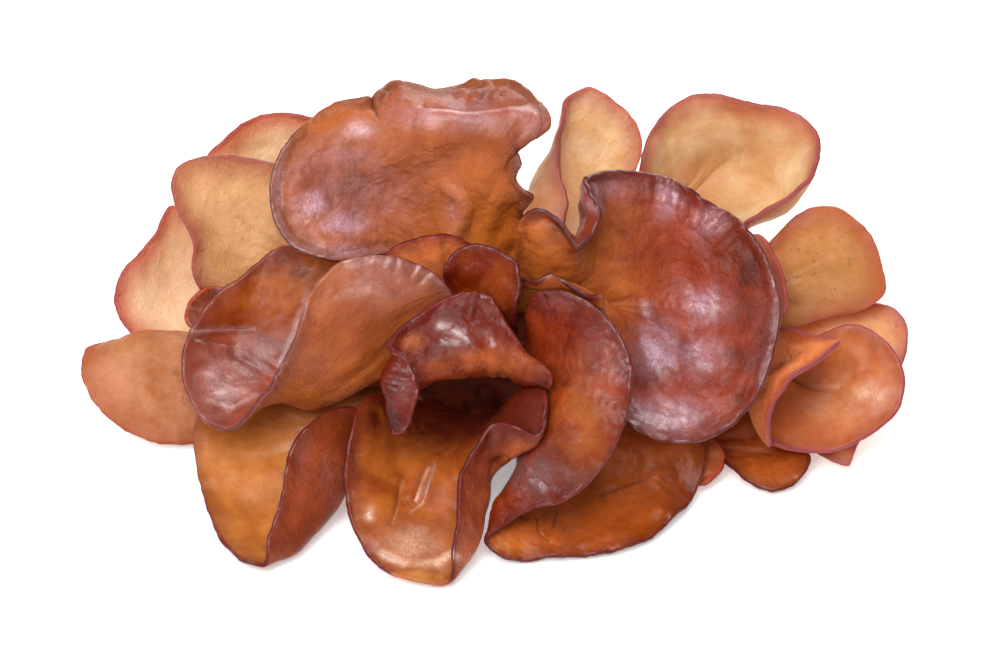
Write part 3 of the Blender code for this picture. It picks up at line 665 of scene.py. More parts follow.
class FleshSettings(bpy.types.PropertyGroup):
    """Sizes of the jelly flesh."""

    thickness: FloatProperty(
        name="Thickness", description="Thickness of an ear", default=2.0 * MM, unit="LENGTH",
    )
    rim_share: FloatProperty(
        name="Rim share", description="Thickness along the rim, as a share of the ear's own",
        default=0.62, min=0.2, max=1.5, subtype="FACTOR",
    )
    ruffle: FloatProperty(
        name="Ruffle", description="How far the rim waves to either side",
        default=0.8 * MM, unit="LENGTH",
    )
    fold: FloatProperty(
        name="Folds", description="Height of the folds that run out from the neck",
        default=0.8 * MM, unit="LENGTH",
    )
    dimple: FloatProperty(
        name="Dimples", description="Depth of the soft dimples all over",
        default=0.5 * MM, unit="LENGTH",
    )
    crinkle: FloatProperty(
        name="Crinkles", description="Height of the small creases all over",
        default=0.22 * MM, unit="LENGTH",
    )
    scallop: FloatProperty(
        name="Scallops", description="How far the rim's outline goes in and out",
        default=0.22 * MM, unit="LENGTH",
    )


class StudioSettings(bpy.types.PropertyGroup):
    """The floor, the lights and the camera."""

    floor_colour: FloatVectorProperty(
        name="Floor", description="Colour of the floor", default=(0.95, 0.95, 0.95),
        subtype="COLOR", size=3, min=0.0, max=1.0,
    )
    camera_distance: FloatProperty(
        name="Camera distance", description="From the camera to the middle of the cluster",
        default=VIEW_DISTANCE * MM, unit="LENGTH",
    )


def off_board(x, y, d):
    """The position, in metres, of a point on the leaning board."""
    drawn_to_real = 1.0 - d / VIEW_DISTANCE
    x, y = x * drawn_to_real, y * drawn_to_real
    back = y * math.sin(LEAN) - d * math.cos(LEAN)
    up = y * math.cos(LEAN) + d * math.sin(LEAN) + BOARD_HEIGHT
    return Vector((x, back, up)) * MM


def on_board(place):
    """Where a point in metres is drawn on the board: off_board undone, without its depth."""
    x, back, up = place / MM
    y = back * math.sin(LEAN) + (up - BOARD_HEIGHT) * math.cos(LEAN)
    d = -back * math.cos(LEAN) + (up - BOARD_HEIGHT) * math.sin(LEAN)
    real_to_drawn = 1 / (1.0 - d / VIEW_DISTANCE)
    return Vector((x * real_to_drawn, y * real_to_drawn))


def off_line(point, path):
    """How far a point is from a line through a few points, all drawn on the board."""
    nearest = math.inf
    for start, end in zip(path, path[1:]):
        start, end = Vector(start), Vector(end)
        along = end - start
        share = min(max((point - start).dot(along) / along.length_squared, 0.0), 1.0)
        nearest = min(nearest, (point - start - along * share).length)
    return nearest


def smooth(low, high, value):
    """0 at low and 1 at high, with a smooth rise in between."""
    t = min(max((value - low) / (high - low), 0.0), 1.0)
    return t * t * (3 - 2 * t)


def hump(distance, width):
    """1 at no distance, and fading like a bell over a width."""
    return math.exp(-((distance / width) ** 2))


def thin_plate_kernel(distance):
    return np.where(distance > 0, distance**2 * np.log(np.maximum(distance, 1e-9)), 0.0)


class ThinPlate:
    """The smoothest bent plate that carries each knot of a flat disc to its place in space."""

    def __init__(self, knots, places):
        self.knots = np.array(knots)
        count = len(knots)
        flat = np.column_stack([np.ones(count), self.knots])
        system = np.zeros((count + 3, count + 3))
        system[:count, :count] = thin_plate_kernel(self.distances(self.knots))
        system[:count, count:] = flat
        system[count:, :count] = flat.T
        self.weights = np.linalg.solve(system, np.vstack([np.array(places), np.zeros((3, 3))]))

    def distances(self, points):
        return np.linalg.norm(points[:, None] - self.knots[None], axis=2)

    def at(self, points):
        flat = np.column_stack([np.ones(len(points)), points])
        count = len(self.knots)
        bent = thin_plate_kernel(self.distances(points)) @ self.weights[:count]
        return bent + flat @ self.weights[count:]


def sheet_of(ear):
    """The middle sheet of an ear, as a plate bent from the unit disc, and its mean radius."""
    rim = [np.array(off_board(*p)) for p in ear["rim"]]
    steps = [np.linalg.norm(rim[i] - rim[i - 1]) for i in range(1, len(rim))]
    steps.append(np.linalg.norm(rim[0] - rim[-1]))
    along = np.concatenate([[0.0], np.cumsum(steps)]) / sum(steps)

    def on_disc(clock, reach):
        angle = 2 * math.pi * np.interp(clock, range(len(along)), along)
        return reach * math.cos(angle), reach * math.sin(angle)

    knots = [on_disc(i, 1.0) for i in range(len(rim))] + [(0.0, 0.0)]
    places = rim + [np.array(off_board(*ear["heart"]))]
    for clock, reach, place in ear.get("folds", ()):
        knots.append(on_disc(clock, reach))
        places.append(np.array(off_board(*place)))
    return ThinPlate(knots, places), sum(steps) / (2 * math.pi)


def mound(subdivisions, small_lumps):
    """The base's lumpy mound, cut flat below, with small lumps of a height in radii."""
    bm = bmesh.new()
    bmesh.ops.create_icosphere(bm, subdivisions=subdivisions, radius=1.0)
    everything = bm.verts[:] + bm.edges[:] + bm.faces[:]
    bmesh.ops.bisect_plane(bm, geom=everything, dist=1e-6, plane_no=(0, 0, 1), clear_inner=True)
    bmesh.ops.holes_fill(bm, edges=bm.edges[:])
    for vertex in bm.verts:
        unit = vertex.co.copy()
        size = 1 + BASE_LUMP_HEIGHT * noise.noise(unit * BASE_LUMPS_PER_RADIUS)
        if unit.z > 1e-4:
            fine = noise.fractal(unit * BASE_SMALL_LUMPS_PER_RADIUS, 1.0, 2.0, 3)
            size += small_lumps * fine
        x = BASE_MIDDLE[0] + BASE_HALF_WIDTH * size * unit.x
        y = BASE_MIDDLE[1] + BASE_HALF_DEPTH * size * unit.y - BASE_REACH_FORWARD * unit.z
        vertex.co = Vector((x, y, BASE_HEIGHT * size * unit.z)) * MM
    bmesh.ops.recalc_face_normals(bm, faces=bm.faces[:])
    return bm


def frame_shift():
    """From the board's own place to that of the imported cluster, which is centred on the origin."""
    bm = mound(4, 0.0)
    low = Vector(min(v.co[i] for v in bm.verts) for i in range(3))
    bm.free()
    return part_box("base")[0] - low


SHIFT = frame_shift()


def graded(t, cells, thickness, radius):
    """Crowds the outermost rows of a grid from -1 to 1 near its edge, to round the rim."""
    row = (1 - abs(t)) * cells / 2
    deepest = thickness / 2 / radius
    if row < RIM_STEPS:
        edge = deepest * (1 - math.cos(math.pi / 2 * row / RIM_STEPS))
    else:
        edge = deepest + (1 - deepest) * (row - RIM_STEPS) / (cells / 2 - RIM_STEPS)
    return math.copysign(1 - edge, t)


def square_to_disc(x, y):
    """Where a point of the square from -1 to 1 lies on the unit disc."""
    return x * math.sqrt(1 - y * y / 2), y * math.sqrt(1 - x * x / 2)


def bent_grid(cells, plate, radius, thickness):
    """A grid bent to its plate. With the bmesh go each vertex's place on the disc, its way out
    to the rim, and how far it is from the rim.
    """
    bm = bmesh.new()
    bmesh.ops.create_grid(bm, x_segments=cells, y_segments=cells, size=1.0)
    disc = []
    for vertex in bm.verts:
        x, y = (graded(t, cells, thickness, radius) for t in vertex.co.xy)
        disc.append(square_to_disc(x, y))
    disc = np.array(disc)
    reach = np.linalg.norm(disc, axis=1)
    inward = disc * (1 - DISC_STEP / np.maximum(reach, DISC_STEP))[:, None]
    places = plate.at(disc)
    outward = (places - plate.at(inward)) / DISC_STEP
    stretch = np.where(reach < DISC_MIDDLE, radius, np.linalg.norm(outward, axis=1))
    for vertex, place in zip(bm.verts, places):
        vertex.co = place
    bm.normal_update()
    return bm, disc, outward, np.maximum(1 - reach, 0) * stretch


def relief(point, drawn, rim_gap, off_neck, spread, seed, look, flesh):
    """How far the flesh rises off its bent sheet at one point."""
    open_part = smooth(*NECK_FADE, off_neck)
    ripple = noise.noise(point / RUFFLE_SIZE + seed)
    ripple += SMALL_RUFFLE_SHARE * noise.noise(point / SMALL_RUFFLE_SIZE + seed)
    height = smooth(*RUFFLE_FADE, rim_gap) * open_part * flesh.ruffle * ripple
    along_streaks = Vector((spread * STREAKS_PER_RADIAN, off_neck / STREAK_LENGTH, 2.0))
    height += open_part * flesh.fold * look["fold"] * noise.noise(along_streaks + seed)
    dimple = noise.fractal(point / DIMPLE_SIZE + seed, 1.0, 2.0, 2)
    dimpled = DIMPLES_AT_NECK + (1 - DIMPLES_AT_NECK) * open_part
    height += dimpled * flesh.dimple * look["dimple"] * dimple
    crease = sum(
        abs(noise.noise(point / (CREASE_SIZE * octave) - seed)) * octave
        for octave in CREASE_OCTAVES
    )
    height += flesh.crinkle * look["crinkle"] * (CREASE_LEVEL - 2 * crease)
    groove = hump(rim_gap - LIP_GROOVE_INSET, LIP_GROOVE_WIDTH)
    height -= look["lip"] * MM * open_part * groove
    for path, width, rise in look["creases"]:
        height += rise * MM * hump(off_line(drawn, path), width)
    return height


def raise_relief(bm, disc, outward, from_rim, neck, seed, look, flesh):
    """Raises the folds, dimples and creases, scallops the rim, and moves the ear to the packed
    cluster. It gives where each vertex is drawn on the board.
    """
    raised = []
    drawn_at = []
    for vertex, (u, v), rim_gap, out in zip(bm.verts, disc, from_rim, outward):
        point = vertex.co
        drawn = on_board(point)
        off_neck = (point - neck).length
        spread = math.atan2(v, FAN_CENTRE - u)
        height = relief(point, drawn, rim_gap, off_neck, spread, seed, look, flesh)
        nick = noise.noise(point / SCALLOP_SIZE - seed)
        nick += SMALL_SCALLOP_SHARE * noise.noise(point / SMALL_SCALLOP_SIZE)
        sway = flesh.scallop * smooth(*SCALLOP_FADE, rim_gap) * nick
        drawn_at.append(drawn)
        raised.append(point + vertex.normal * height + Vector(out).normalized() * sway)
    for vertex, place in zip(bm.verts, raised):
        vertex.co = place + SHIFT
    bm.normal_update()
    return drawn_at


def half_thickness(place, rim_gap, seed, flesh):
    """Half of the flesh's thickness at a point, thinner towards the rim and rounded off there."""
    thick = flesh.thickness / 2
    thick *= 1 + THICKNESS_VARIATION * noise.noise(place / THICKNESS_SIZE + seed)
    thick *= flesh.rim_share + (1 - flesh.rim_share) * smooth(*THICKNESS_FADE, rim_gap)
    bite = min(rim_gap / (flesh.rim_share * flesh.thickness / 2), 1.0)
    return thick * math.sqrt(max(1 - (1 - bite) ** 2, 0.0))


def paint(vertex, layers, drawn, look):
    """Lays the patches and strokes of an ear's look on one vertex."""
    for colour, x, y, half_width, half_height, strength in look["patches"]:
        off = Vector(((drawn.x - x) / half_width, (drawn.y - y) / half_height)).length
        vertex[layers[colour]] = max(vertex[layers[colour]], strength * hump(off, 1.0))
    for colour, path, width, strength in look["strokes"]:
        laid = strength * hump(off_line(drawn, path), width)
        vertex[layers[colour]] = max(vertex[layers[colour]], laid)


def close_skin(bm, half, outer_side, turned, thickness):
    """Parts a sheet into an inner and an outer skin, which meet along the rim."""
    sheet = bm.verts[:]
    normals = [vertex.normal.copy() for vertex in sheet]
    copied = bmesh.ops.duplicate(bm, geom=bm.verts[:] + bm.edges[:] + bm.faces[:])
    for front, normal, rise in zip(sheet, normals, half):
        back = copied["vert_map"][front]
        front.co += normal * rise
        back.co -= normal * rise
        lift = turned * min(rise / thickness * SIDE_CHANGE, 0.5)
        front[outer_side] = 0.5 + lift
        back[outer_side] = 0.5 - lift
    copied_faces = [g for g in copied["geom"] if isinstance(g, bmesh.types.BMFace)]
    bmesh.ops.reverse_faces(bm, faces=copied_faces)
    bmesh.ops.remove_doubles(bm, verts=bm.verts[:], dist=SEAM_GAP)


def add_object(name, bm, material):
    mesh = bpy.data.meshes.new(name)
    bm.to_mesh(mesh)
    bm.free()
    mesh.materials.append(material)
    thing = bpy.data.objects.new(name, mesh)
    bpy.context.scene.collection.objects.link(thing)
    return thing


def add_piece(name, bm, material):
    piece = add_object(name, bm, material)
    piece.data.shade_smooth()
    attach(piece, "root")
    return piece


def grow_ear(name, flesh):
    """One ear as a closed skin with a rounded rim, grown on its bent sheet."""
    ear = EARS[name]
    look = LOOKS[name]
    seed = Vector((sum(map(ord, name)) % 97, len(name), 0.0)) * 3.1
    plate, radius = sheet_of(ear)
    neck = Vector(plate.at(np.array([NECK_ON_DISC]))[0])
    cells = 2 * ear["cells"] * look["fineness"]
    bm, disc, outward, from_rim = bent_grid(cells, plate, radius, flesh.thickness)
    drawn_at = raise_relief(bm, disc, outward, from_rim, neck, seed, look, flesh)
    half = [half_thickness(v.co, gap, seed, flesh) for v, gap in zip(bm.verts, from_rim)]
    uv = bm.loops.layers.uv.new("disc")
    layers = {
        key: bm.verts.layers.float.new(key)
        for key in ("from_rim", "from_neck", "outer_side", *PAINTS)
    }
    for vertex, rim_gap, drawn in zip(bm.verts, from_rim, drawn_at):
        vertex[layers["from_rim"]] = rim_gap / MM
        vertex[layers["from_neck"]] = (vertex.co - SHIFT - neck).length / MM
        paint(vertex, layers, drawn, look)
    for face in bm.faces:
        for loop in face.loops:
            loop[uv].uv = disc[loop.vert.index]
    close_skin(bm, half, layers["outer_side"], look["turned"], flesh.thickness)
    piece = add_piece(name.replace("ear_", "flesh_"), bm, flesh_material(name))
    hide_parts(name)
    return piece


def grow_base():
    """The lumpy common base, with its flat cut on the floor."""
    bm = mound(6, BASE_SMALL_LUMP_HEIGHT)
    for vertex in bm.verts:
        vertex.co += SHIFT
    piece = add_piece("stump", bm, tissue_material())
    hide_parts("base")
    return piece


def shade(code):
    """A colour written as on a paint card, such as A95F3F, as the linear red, green and blue."""
    levels = [int(code[i:i + 2], 16) / 255 for i in (0, 2, 4)]
    return tuple(s / 12.92 if s <= 0.04045 else ((s + 0.055) / 1.055) ** 2.4 for s in levels)


class Wiring:
    """Short ways to add nodes to one node tree and join them."""

    def __init__(self, tree):
        self.tree = tree

    def node(self, kind, **settings):
        node = self.tree.nodes.new(kind)
        for key, value in settings.items():
            setattr(node, key, value)
        return node

    def feed(self, socket, value):
        """Links a socket to another one, or gives it a plain value."""
        if isinstance(value, bpy.types.NodeSocket):
            self.tree.links.new(value, socket)
        elif value is not None:
            socket.default_value = (*value, 1.0) if socket.type == "RGBA" else value

    def maths(self, operation, a, b=None, c=None, clamp=False):
        node = self.node("ShaderNodeMath", operation=operation, use_clamp=clamp)
        for socket, value in zip(node.inputs, (a, b, c)):
            self.feed(socket, value)
        return node.outputs[0]

    def times(self, a, b, plus=None, clamp=False):
        operation = "MULTIPLY" if plus is None else "MULTIPLY_ADD"
        return self.maths(operation, a, b, plus, clamp)

    def mix(self, share, first, second, blend="MIX"):
        """A colour between two, or two multiplied."""
        return self.between(share, first, second, data_type="RGBA", blend_type=blend)

    def between(self, share, first, second, **settings):
        node = self.node("ShaderNodeMix", **settings)
        for label, value in (("Factor", share), ("A", first), ("B", second)):
            self.feed(node.inputs[label], value)
        return node.outputs["Result"]

    def ramp(self, value, low, high, to_low=0.0, to_high=1.0):
        """Carries low to to_low and high to to_high, with a smooth rise in between."""
        node = self.node("ShaderNodeMapRange", interpolation_type="SMOOTHSTEP")
        for socket, given in zip(node.inputs, (value, low, high, to_low, to_high)):
            self.feed(socket, given)
        return node.outputs["Result"]

    def noise(self, at, size, detail=2.0, roughness=0.5, distortion=0.0):
        """Noise from 0 to 1 with lumps of a size given in the units of its coordinates."""
        node = self.node("ShaderNodeTexNoise")
        self.feed(node.inputs["Vector"], at)
        settings = {
            "Scale": 1.0 / size, "Detail": detail, "Roughness": roughness,
            "Distortion": distortion,
        }
        for label, value in settings.items():
            self.feed(node.inputs[label], value)
        return node.outputs["Fac"]

    def attribute(self, name):
        return self.node("ShaderNodeAttribute", attribute_name=name).outputs["Fac"]

    def place(self):
        return self.node("ShaderNodeTexCoord").outputs["Object"]

    def disc(self):
        """Across and up on the unit disc that an ear was bent from, whose neck is at (1, 0)."""
        parts = self.node("ShaderNodeSeparateXYZ")
        self.feed(parts.inputs[0], self.node("ShaderNodeUVMap", uv_map="disc").outputs[0])
        return parts.outputs["X"], parts.outputs["Y"]

    def pair(self, x, y):
        node = self.node("ShaderNodeCombineXYZ")
        self.feed(node.inputs["X"], x)
        self.feed(node.inputs["Y"], y)
        return node.outputs[0]

    def bump(self, height, depth):
        """The normal of a surface whose bumps are so deep, in metres."""
        node = self.node("ShaderNodeBump")
        for label, value in (("Height", height), ("Strength", 1.0), ("Distance", depth)):
            self.feed(node.inputs[label], value)
        return node.outputs["Normal"]

    def group(self, name, **values):
        """Places a shared node group, which is made the first time that it is asked for. Each input
        takes the value of its own name, and a colour may be written as on a paint card.
        """
        tree = bpy.data.node_groups.get(name) or GROUPS[name]()
        node = self.node("ShaderNodeGroup", node_tree=tree)
        for socket in node.inputs:
            value = values.get(socket.name.lower().replace(" ", "_"))
            self.feed(socket, shade(value) if isinstance(value, str) else value)
        return node.outputs


def new_group(name, inputs, outputs):
    """A node group, its wiring, its inputs and its outputs. A socket that holds three numbers is a
    colour.
    """
    tree = bpy.data.node_groups.new(name, "ShaderNodeTree")
    for in_out, sockets in (("INPUT", inputs), ("OUTPUT", outputs)):
        for label, value in sockets.items():
            colour = isinstance(value, tuple)
            kind = "NodeSocketColor" if colour else "NodeSocketFloat"
            socket = tree.interface.new_socket(label, in_out=in_out, socket_type=kind)
            socket.default_value = (*value, 1.0) if colour else value
    wires = Wiring(tree)
    return tree, wires, wires.node("NodeGroupInput").outputs, wires.node("NodeGroupOutput").inputs


def mottling_group():
    """Cloudy flesh between a deep and a light colour, leathery and with fine dark specks."""
    tree, wires, given, out = new_group(
        "Mottling",
        {
            "Deep": (0.2, 0.05, 0.02), "Light": (0.5, 0.2, 0.1), "Cloud size": 12 * MM,
            "Specks": 0.2, "Leather": 0.4,
        },
        {"Colour": (0.5, 0.2, 0.1)},
    )
    place = wires.place()
    scaled = wires.node("ShaderNodeVectorMath", operation="SCALE")
    wires.feed(scaled.inputs[0], place)
    wires.feed(scaled.inputs["Scale"], wires.maths("DIVIDE", 1.0, given["Cloud size"]))
    clouds = wires.noise(scaled.outputs[0], 1.0, detail=4.0, roughness=0.6, distortion=0.4)
    colour = wires.mix(wires.ramp(clouds, 0.33, 0.68), given["Deep"], given["Light"])
    leather = wires.ramp(wires.noise(place, 1.6 * MM, detail=3.0, roughness=0.7), 0.3, 0.7)
    shaded = wires.mix(1.0, colour, (0.72, 0.68, 0.68), "MULTIPLY")
    colour = wires.mix(wires.times(leather, given["Leather"]), colour, shaded)
    specks = wires.ramp(wires.noise(place, 1.1 * MM), 0.60, 0.74)
    dark = wires.mix(1.0, colour, (0.62, 0.5, 0.45), "MULTIPLY")
    wires.feed(out["Colour"], wires.mix(wires.times(specks, given["Specks"]), colour, dark))
    return tree


def painting_group():
    """Lays the amber, dark and pale patches over the flesh, broken up by clouds."""
    # The amber paint is partly a painted glow, the pale paint carries painted highlights and the
    # dark paint carries painted shade.
    tree, wires, given, out = new_group(
        "Painting",
        {
            "Colour": (0.5, 0.2, 0.1), "Amber": (0.5, 0.2, 0.05), "Dark": (0.1, 0.02, 0.01),
            "Bloom": (0.5, 0.3, 0.3), "Bloom share": 0.3,
        },
        {"Colour": (0.5, 0.2, 0.1)},
    )
    clouds = wires.noise(wires.place(), 4.5 * MM, detail=4.0, roughness=0.6)
    clouds = wires.ramp(clouds, 0.35, 0.65, 0.45, 1.1)
    grain = wires.noise(wires.place(), 0.6 * MM, detail=3.0, roughness=0.75)
    fuzz = wires.times(clouds, wires.ramp(grain, 0.38, 0.62, 0.65, 1.1))
    colour = given["Colour"]
    for label, strength, broken in (
        ("Amber", 0.95, clouds), ("Dark", 1.1, clouds), ("Bloom", given["Bloom share"], fuzz),
    ):
        share = wires.times(wires.attribute(label.lower()), broken)
        colour = wires.mix(wires.times(share, strength, clamp=True), colour, given[label])
    wires.feed(out["Colour"], colour)
    return tree


def neck_group():
    """Tints the flesh towards the neck: painted shade where the neck lies deep in the crowded
    middle of the cluster, and on the ears given an amber neck, their thinner flesh with a painted
    glow of light through it.
    """
    tree, wires, given, out = new_group(
        "Neck shade",
        {
            "Colour": (0.5, 0.2, 0.1), "Neck": (0.3, 0.1, 0.03), "Neck reach": 24.0,
            "Neck share": 0.5,
        },
        {"Colour": (0.5, 0.2, 0.1)},
    )
    near = wires.ramp(wires.attribute("from_neck"), given["Neck reach"], 4.0)
    share = wires.times(near, given["Neck share"])
    wires.feed(out["Colour"], wires.mix(share, given["Colour"], given["Neck"]))
    return tree


def rim_group():
    """A blush that streaks in from the rim, the rim's own colour and a fine dark outer line.
    The rim's colour and line fade where amber is painted.
    """
    tree, wires, given, out = new_group(
        "Rim shade",
        {
            "Colour": (0.5, 0.2, 0.1), "Blush": (0.4, 0.1, 0.05), "Rim": (0.2, 0.05, 0.04),
            "Edge": (0.1, 0.02, 0.02), "Rim width": 1.0, "Blush reach": 6.0, "Blush share": 0.5,
            "Streaks": 0.5,
        },
        {"Colour": (0.5, 0.2, 0.1)},
    )
    gap = wires.attribute("from_rim")
    across, up = wires.disc()
    around = wires.maths("ARCTAN2", up, across)
    fan = wires.pair(wires.times(around, 5.0), wires.times(gap, 0.12))
    streaks = wires.noise(fan, 0.7, detail=4.0, roughness=0.65)
    waver = wires.noise(wires.place(), 4 * MM, detail=3.0)
    faded = wires.times(wires.attribute("amber"), 3.0, plus=-1.5, clamp=True)
    uneven = wires.times(waver, 1.2, plus=wires.maths("ADD", gap, -0.6))
    uneven = wires.times(faded, 2.0, plus=uneven)
    swing = wires.times(given["Blush reach"], given["Streaks"])
    streaky = wires.times(wires.maths("ADD", streaks, -0.5), swing, plus=uneven)
    blush = wires.times(wires.ramp(streaky, given["Blush reach"], 0.0), given["Blush share"])
    colour = wires.mix(blush, given["Colour"], given["Blush"])
    band = wires.ramp(uneven, wires.times(given["Rim width"], 1.3), 0.0)
    colour = wires.mix(band, colour, given["Rim"])
    line = wires.ramp(gap, wires.times(given["Rim width"], 0.4), 0.0, 0.0, 0.8)
    line = wires.times(line, wires.maths("SUBTRACT", 1.0, faded))
    wires.feed(out["Colour"], wires.mix(line, colour, given["Edge"]))
    return tree


def gloss_group():
    """Roughness, and the wet coat: in soft patches, along the rim and wherever the pale paint of
    fuzz and painted highlights lies.
    """
    tree, wires, given, out = new_group(
        "Gloss",
        {
            "Inner rough": 0.4, "Outer rough": 0.42, "Wet": 0.08, "Bloom wet": 0.85,
            "Rim wet": 0.35, "Speckle": 0.3,
        },
        {"Roughness": 0.4, "Wet": 0.08},
    )
    grain = wires.noise(wires.place(), 0.5 * MM, roughness=0.7)
    side = wires.attribute("outer_side")
    rough = wires.between(side, given["Inner rough"], given["Outer rough"])
    wires.feed(out["Roughness"], wires.times(wires.ramp(grain, 0.5, 0.7), -0.1, plus=rough))
    patches = wires.ramp(wires.noise(wires.place(), 8 * MM), 0.42, 0.6, 0.15, 1.0)
    breaks = wires.noise(wires.place(), 3 * MM, detail=3.0, roughness=0.7)
    bloom = wires.times(wires.attribute("bloom"), wires.ramp(breaks, 0.35, 0.6, 0.5, 1.0))
    wet = wires.times(patches, given["Wet"])
    wet = wires.times(bloom, given["Bloom wet"], plus=wet, clamp=True)
    speckles = wires.between(given["Speckle"], 1.0, wires.ramp(grain, 0.42, 0.6, 0.15, 1.1))
    wet = wires.times(wet, speckles)
    rim = wires.ramp(wires.attribute("from_rim"), 1.5, 0.7)
    rim = wires.times(rim, wires.ramp(breaks, 0.42, 0.62))
    wires.feed(out["Wet"], wires.times(rim, given["Rim wet"], plus=wet, clamp=True))
    return tree


def skin_group():
    """The height of the two skins: fuzzy and finely wrinkled outside, smooth and veined inside.
    The wrinkles are calmer towards the neck.
    """
    tree, wires, given, out = new_group("Skin", {"Veins": 0.6}, {"Height": 0.0})
    place = wires.place()
    across, up = wires.disc()
    spread = wires.maths("ARCTAN2", up, wires.maths("SUBTRACT", 1.03, across))
    off_neck = wires.attribute("from_neck")
    veins = wires.noise(wires.pair(wires.times(spread, 7.0), wires.times(off_neck, 0.05)), 0.5)
    grain = wires.noise(place, 0.5 * MM, roughness=0.75)
    crinkle = wires.noise(place, 2.2 * MM, detail=3.0, roughness=0.65, distortion=0.6)
    leather = wires.noise(place, 0.9 * MM, roughness=0.6)
    outer = wires.times(grain, 0.2, plus=wires.times(leather, 0.35, plus=crinkle))
    outer = wires.times(outer, wires.ramp(off_neck, 12.0, 40.0, 0.3, 1.0))
    inner = wires.times(grain, 0.15, plus=wires.noise(place, 6 * MM, detail=1.0))
    height = wires.between(wires.attribute("outer_side"), inner, outer)
    wires.feed(out["Height"], wires.times(veins, given["Veins"], plus=height))
    return tree


GROUPS = {
    "Mottling": mottling_group, "Painting": painting_group, "Neck shade": neck_group,
    "Rim shade": rim_group, "Gloss": gloss_group, "Skin": skin_group,
}


def new_material(name, constants):
    """A material whose shader has plain values on its own sockets, with its shader and wiring."""
    material = bpy.data.materials.new(name)
    material.use_nodes = True
    shader = material.node_tree.nodes["Principled BSDF"]
    for label, value in constants.items():
        shader.inputs[label].default_value = value
    return material, shader.inputs, Wiring(material.node_tree)


def flesh_material(name):
    """Jelly flesh for one ear, from its look: inner and outer colours, its paints and neck tint with
    their painted glow, shade and highlights, rim, gloss and the subsurface glow.
    """
    look = LOOKS[name]
    own = {"Coat Roughness": look["coat_rough"], "Subsurface Weight": look["glow"]}
    material, shader, wires = new_material(name.replace("ear_", "jelly_"), {**JELLY, **own})
    side = wires.attribute("outer_side")
    deep, light = (
        wires.mix(side, shade(inner), shade(outer))
        for inner, outer in zip(look["inner"], look["outer"])
    )
    colour = wires.group("Mottling", **look, deep=deep, light=light)["Colour"]
    for group in ("Painting", "Neck shade", "Rim shade"):
        colour = wires.group(group, **look, colour=colour)["Colour"]
    wires.feed(shader["Base Color"], colour)
    gloss = wires.group("Gloss", **look)
    wires.feed(shader["Roughness"], gloss["Roughness"])
    wires.feed(shader["Coat Weight"], gloss["Wet"])
    wires.feed(shader["Normal"], wires.bump(wires.group("Skin")["Height"], SKIN_BUMP))
    return material


def tissue_material():
    """The firm dark tissue of the base, fibrous and a little damp."""
    material, shader, wires = new_material("base_tissue", TISSUE)
    colour = wires.group(
        "Mottling", deep="360F08", light="6A2614", cloud_size=6 * MM, specks=0.8,
    )["Colour"]
    wires.feed(shader["Base Color"], colour)
    lumps = wires.noise(wires.place(), 3 * MM, detail=6.0, roughness=0.7)
    wires.feed(shader["Normal"], wires.bump(lumps, TISSUE_BUMP))
    return material


def paper_material(pale):
    """Plain pale paper, a little uneven, that glows faintly to stay clear of the shadows."""
    material, shader, wires = new_material("floor_paper", PAPER)
    tone = wires.noise(wires.place(), 0.8)
    wires.feed(shader["Base Color"], wires.mix(tone, tuple(0.985 * c for c in pale), pale))
    return material


def add_floor(settings):
    bm = bmesh.new()
    bmesh.ops.create_grid(bm, x_segments=1, y_segments=1, size=FLOOR_HALF_WIDTH)
    floor = add_object("floor", bm, paper_material(tuple(settings.floor_colour)))


def aimed(name, data, target, back, distance):
    """A light or camera that looks at a target from so far back."""
    holder = bpy.data.objects.new(name, data)
    holder.location = target + back * distance
    holder.rotation_euler = back.to_track_quat("Z", "Y").to_euler()
    bpy.context.scene.collection.objects.link(holder)
    return holder


def add_lights():
    for name, (azimuth, elevation, distance, side, power) in LIGHTS.items():
        light = bpy.data.lights.new(name, "AREA")
        light.shape = "SQUARE"
        light.size = side
        light.energy = power
        a, e = math.radians(azimuth), math.radians(elevation)
        back = Vector((math.sin(a) * math.cos(e), -math.cos(a) * math.cos(e), math.sin(e)))
        aimed(name, light, LIT_PLACE, back, distance)


def add_camera(settings):
    camera = bpy.data.cameras.new("camera")
    camera.sensor_width = SENSOR_WIDTH
    camera.lens = SENSOR_WIDTH * settings.camera_distance / VIEW_WIDTH
    camera.shift_x, camera.shift_y = VIEW_SHIFT
    camera.clip_start, camera.clip_end = 0.05, 20.0
    back = Vector((0, -math.cos(LEAN), math.sin(LEAN)))
    middle = Vector((0, 0, BOARD_HEIGHT * MM)) + SHIFT
    bpy.context.scene.camera = aimed("camera", camera, middle, back, settings.camera_distance)


def add_world():
    world = bpy.data.worlds.new("studio")
    world.use_nodes = True
    background = world.node_tree.nodes["Background"].inputs
    background["Color"].default_value = (1.0, 1.0, 1.0, 1.0)
    background["Strength"].default_value = WORLD_LIGHT
    bpy.context.scene.world = world
    bpy.context.scene.view_settings.view_transform = "Standard"


def grow_ears(context, *names):
    for name in names:
        grow_ear("ear_" + name, context.scene.woodear_flesh)
    return {"FINISHED"}


class WOODEAR_OT_base(bpy.types.Operator):
    """Grow the common base"""

    bl_idname = "woodear.base"
    bl_label = "Base"

    def execute(self, context):
        grow_base()
        return {"FINISHED"}


class WOODEAR_OT_front(bpy.types.Operator):
    """Grow the ears in front"""

    bl_idname = "woodear.front"
    bl_label = "Front ears"

    def execute(self, context):
        return grow_ears(
            context, "front_right", "front_left", "hood", "front_tongue", "low_left", "small_cup",
        )


class WOODEAR_OT_top(bpy.types.Operator):
    """Grow the two big ears and the small ones beside them"""

    bl_idname = "woodear.top"
    bl_label = "Top ears"

    def execute(self, context):
        return grow_ears(context, "upper_left", "upper_right", "left_inner", "small_left")


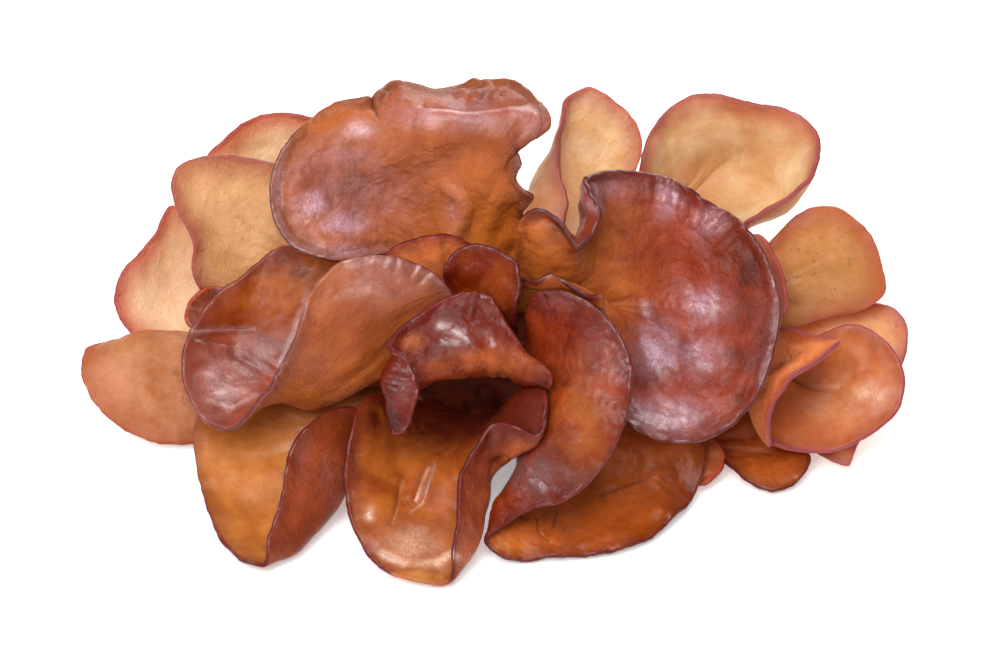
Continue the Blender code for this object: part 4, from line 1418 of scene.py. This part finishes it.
class WOODEAR_OT_left(bpy.types.Operator):
    """Grow the pale ears on the left"""

    bl_idname = "woodear.left"
    bl_label = "Left ears"

    def execute(self, context):
        return grow_ears(context, "far_left", "left_back", "left_upper", "back_left")


class WOODEAR_OT_right(bpy.types.Operator):
    """Grow the ears on the right and behind"""

    bl_idname = "woodear.right"
    bl_label = "Right ears"

    def execute(self, context):
        return grow_ears(
            context, "back_spoon", "back_right", "right_upper", "right_middle", "right_lower",
            "right_bottom", "right_inner", "small_right",
        )


class WOODEAR_OT_studio(bpy.types.Operator):
    """Lay the floor and set up the lights and the camera"""

    bl_idname = "woodear.studio"
    bl_label = "Studio"

    def execute(self, context):
        settings = context.scene.woodear_studio
        add_floor(settings)
        add_world()
        add_lights()
        add_camera(settings)
        return {"FINISHED"}


class WOODEAR_PT_panel(bpy.types.Panel):
    """The cluster's pieces and sizes, in the sidebar"""

    bl_idname = "WOODEAR_PT_panel"
    bl_label = "Wood Ear"
    bl_space_type = "VIEW_3D"
    bl_region_type = "UI"
    bl_category = "Wood Ear"

    def draw(self, context):
        layout = self.layout
        for settings in (context.scene.woodear_flesh, context.scene.woodear_studio):
            for key in settings.__annotations__:
                layout.prop(settings, key)
        for operator in OPERATORS:
            layout.operator(operator.bl_idname)


OPERATORS = (
    WOODEAR_OT_base, WOODEAR_OT_front, WOODEAR_OT_top, WOODEAR_OT_left, WOODEAR_OT_right,
    WOODEAR_OT_studio,
)
CLASSES = (FleshSettings, StudioSettings, *OPERATORS, WOODEAR_PT_panel)


def register():
    for cls in CLASSES:
        bpy.utils.register_class(cls)
    bpy.types.Scene.woodear_flesh = PointerProperty(type=FleshSettings)
    bpy.types.Scene.woodear_studio = PointerProperty(type=StudioSettings)


def unregister():
    del bpy.types.Scene.woodear_studio
    del bpy.types.Scene.woodear_flesh
    for cls in reversed(CLASSES):
        bpy.utils.unregister_class(cls)


def main():
    register()
    bpy.ops.woodear.base()
    bpy.ops.woodear.front()
    bpy.ops.woodear.top()
    bpy.ops.woodear.left()
    bpy.ops.woodear.right()
    bpy.ops.woodear.studio()


if __name__ == "__main__":
    main()
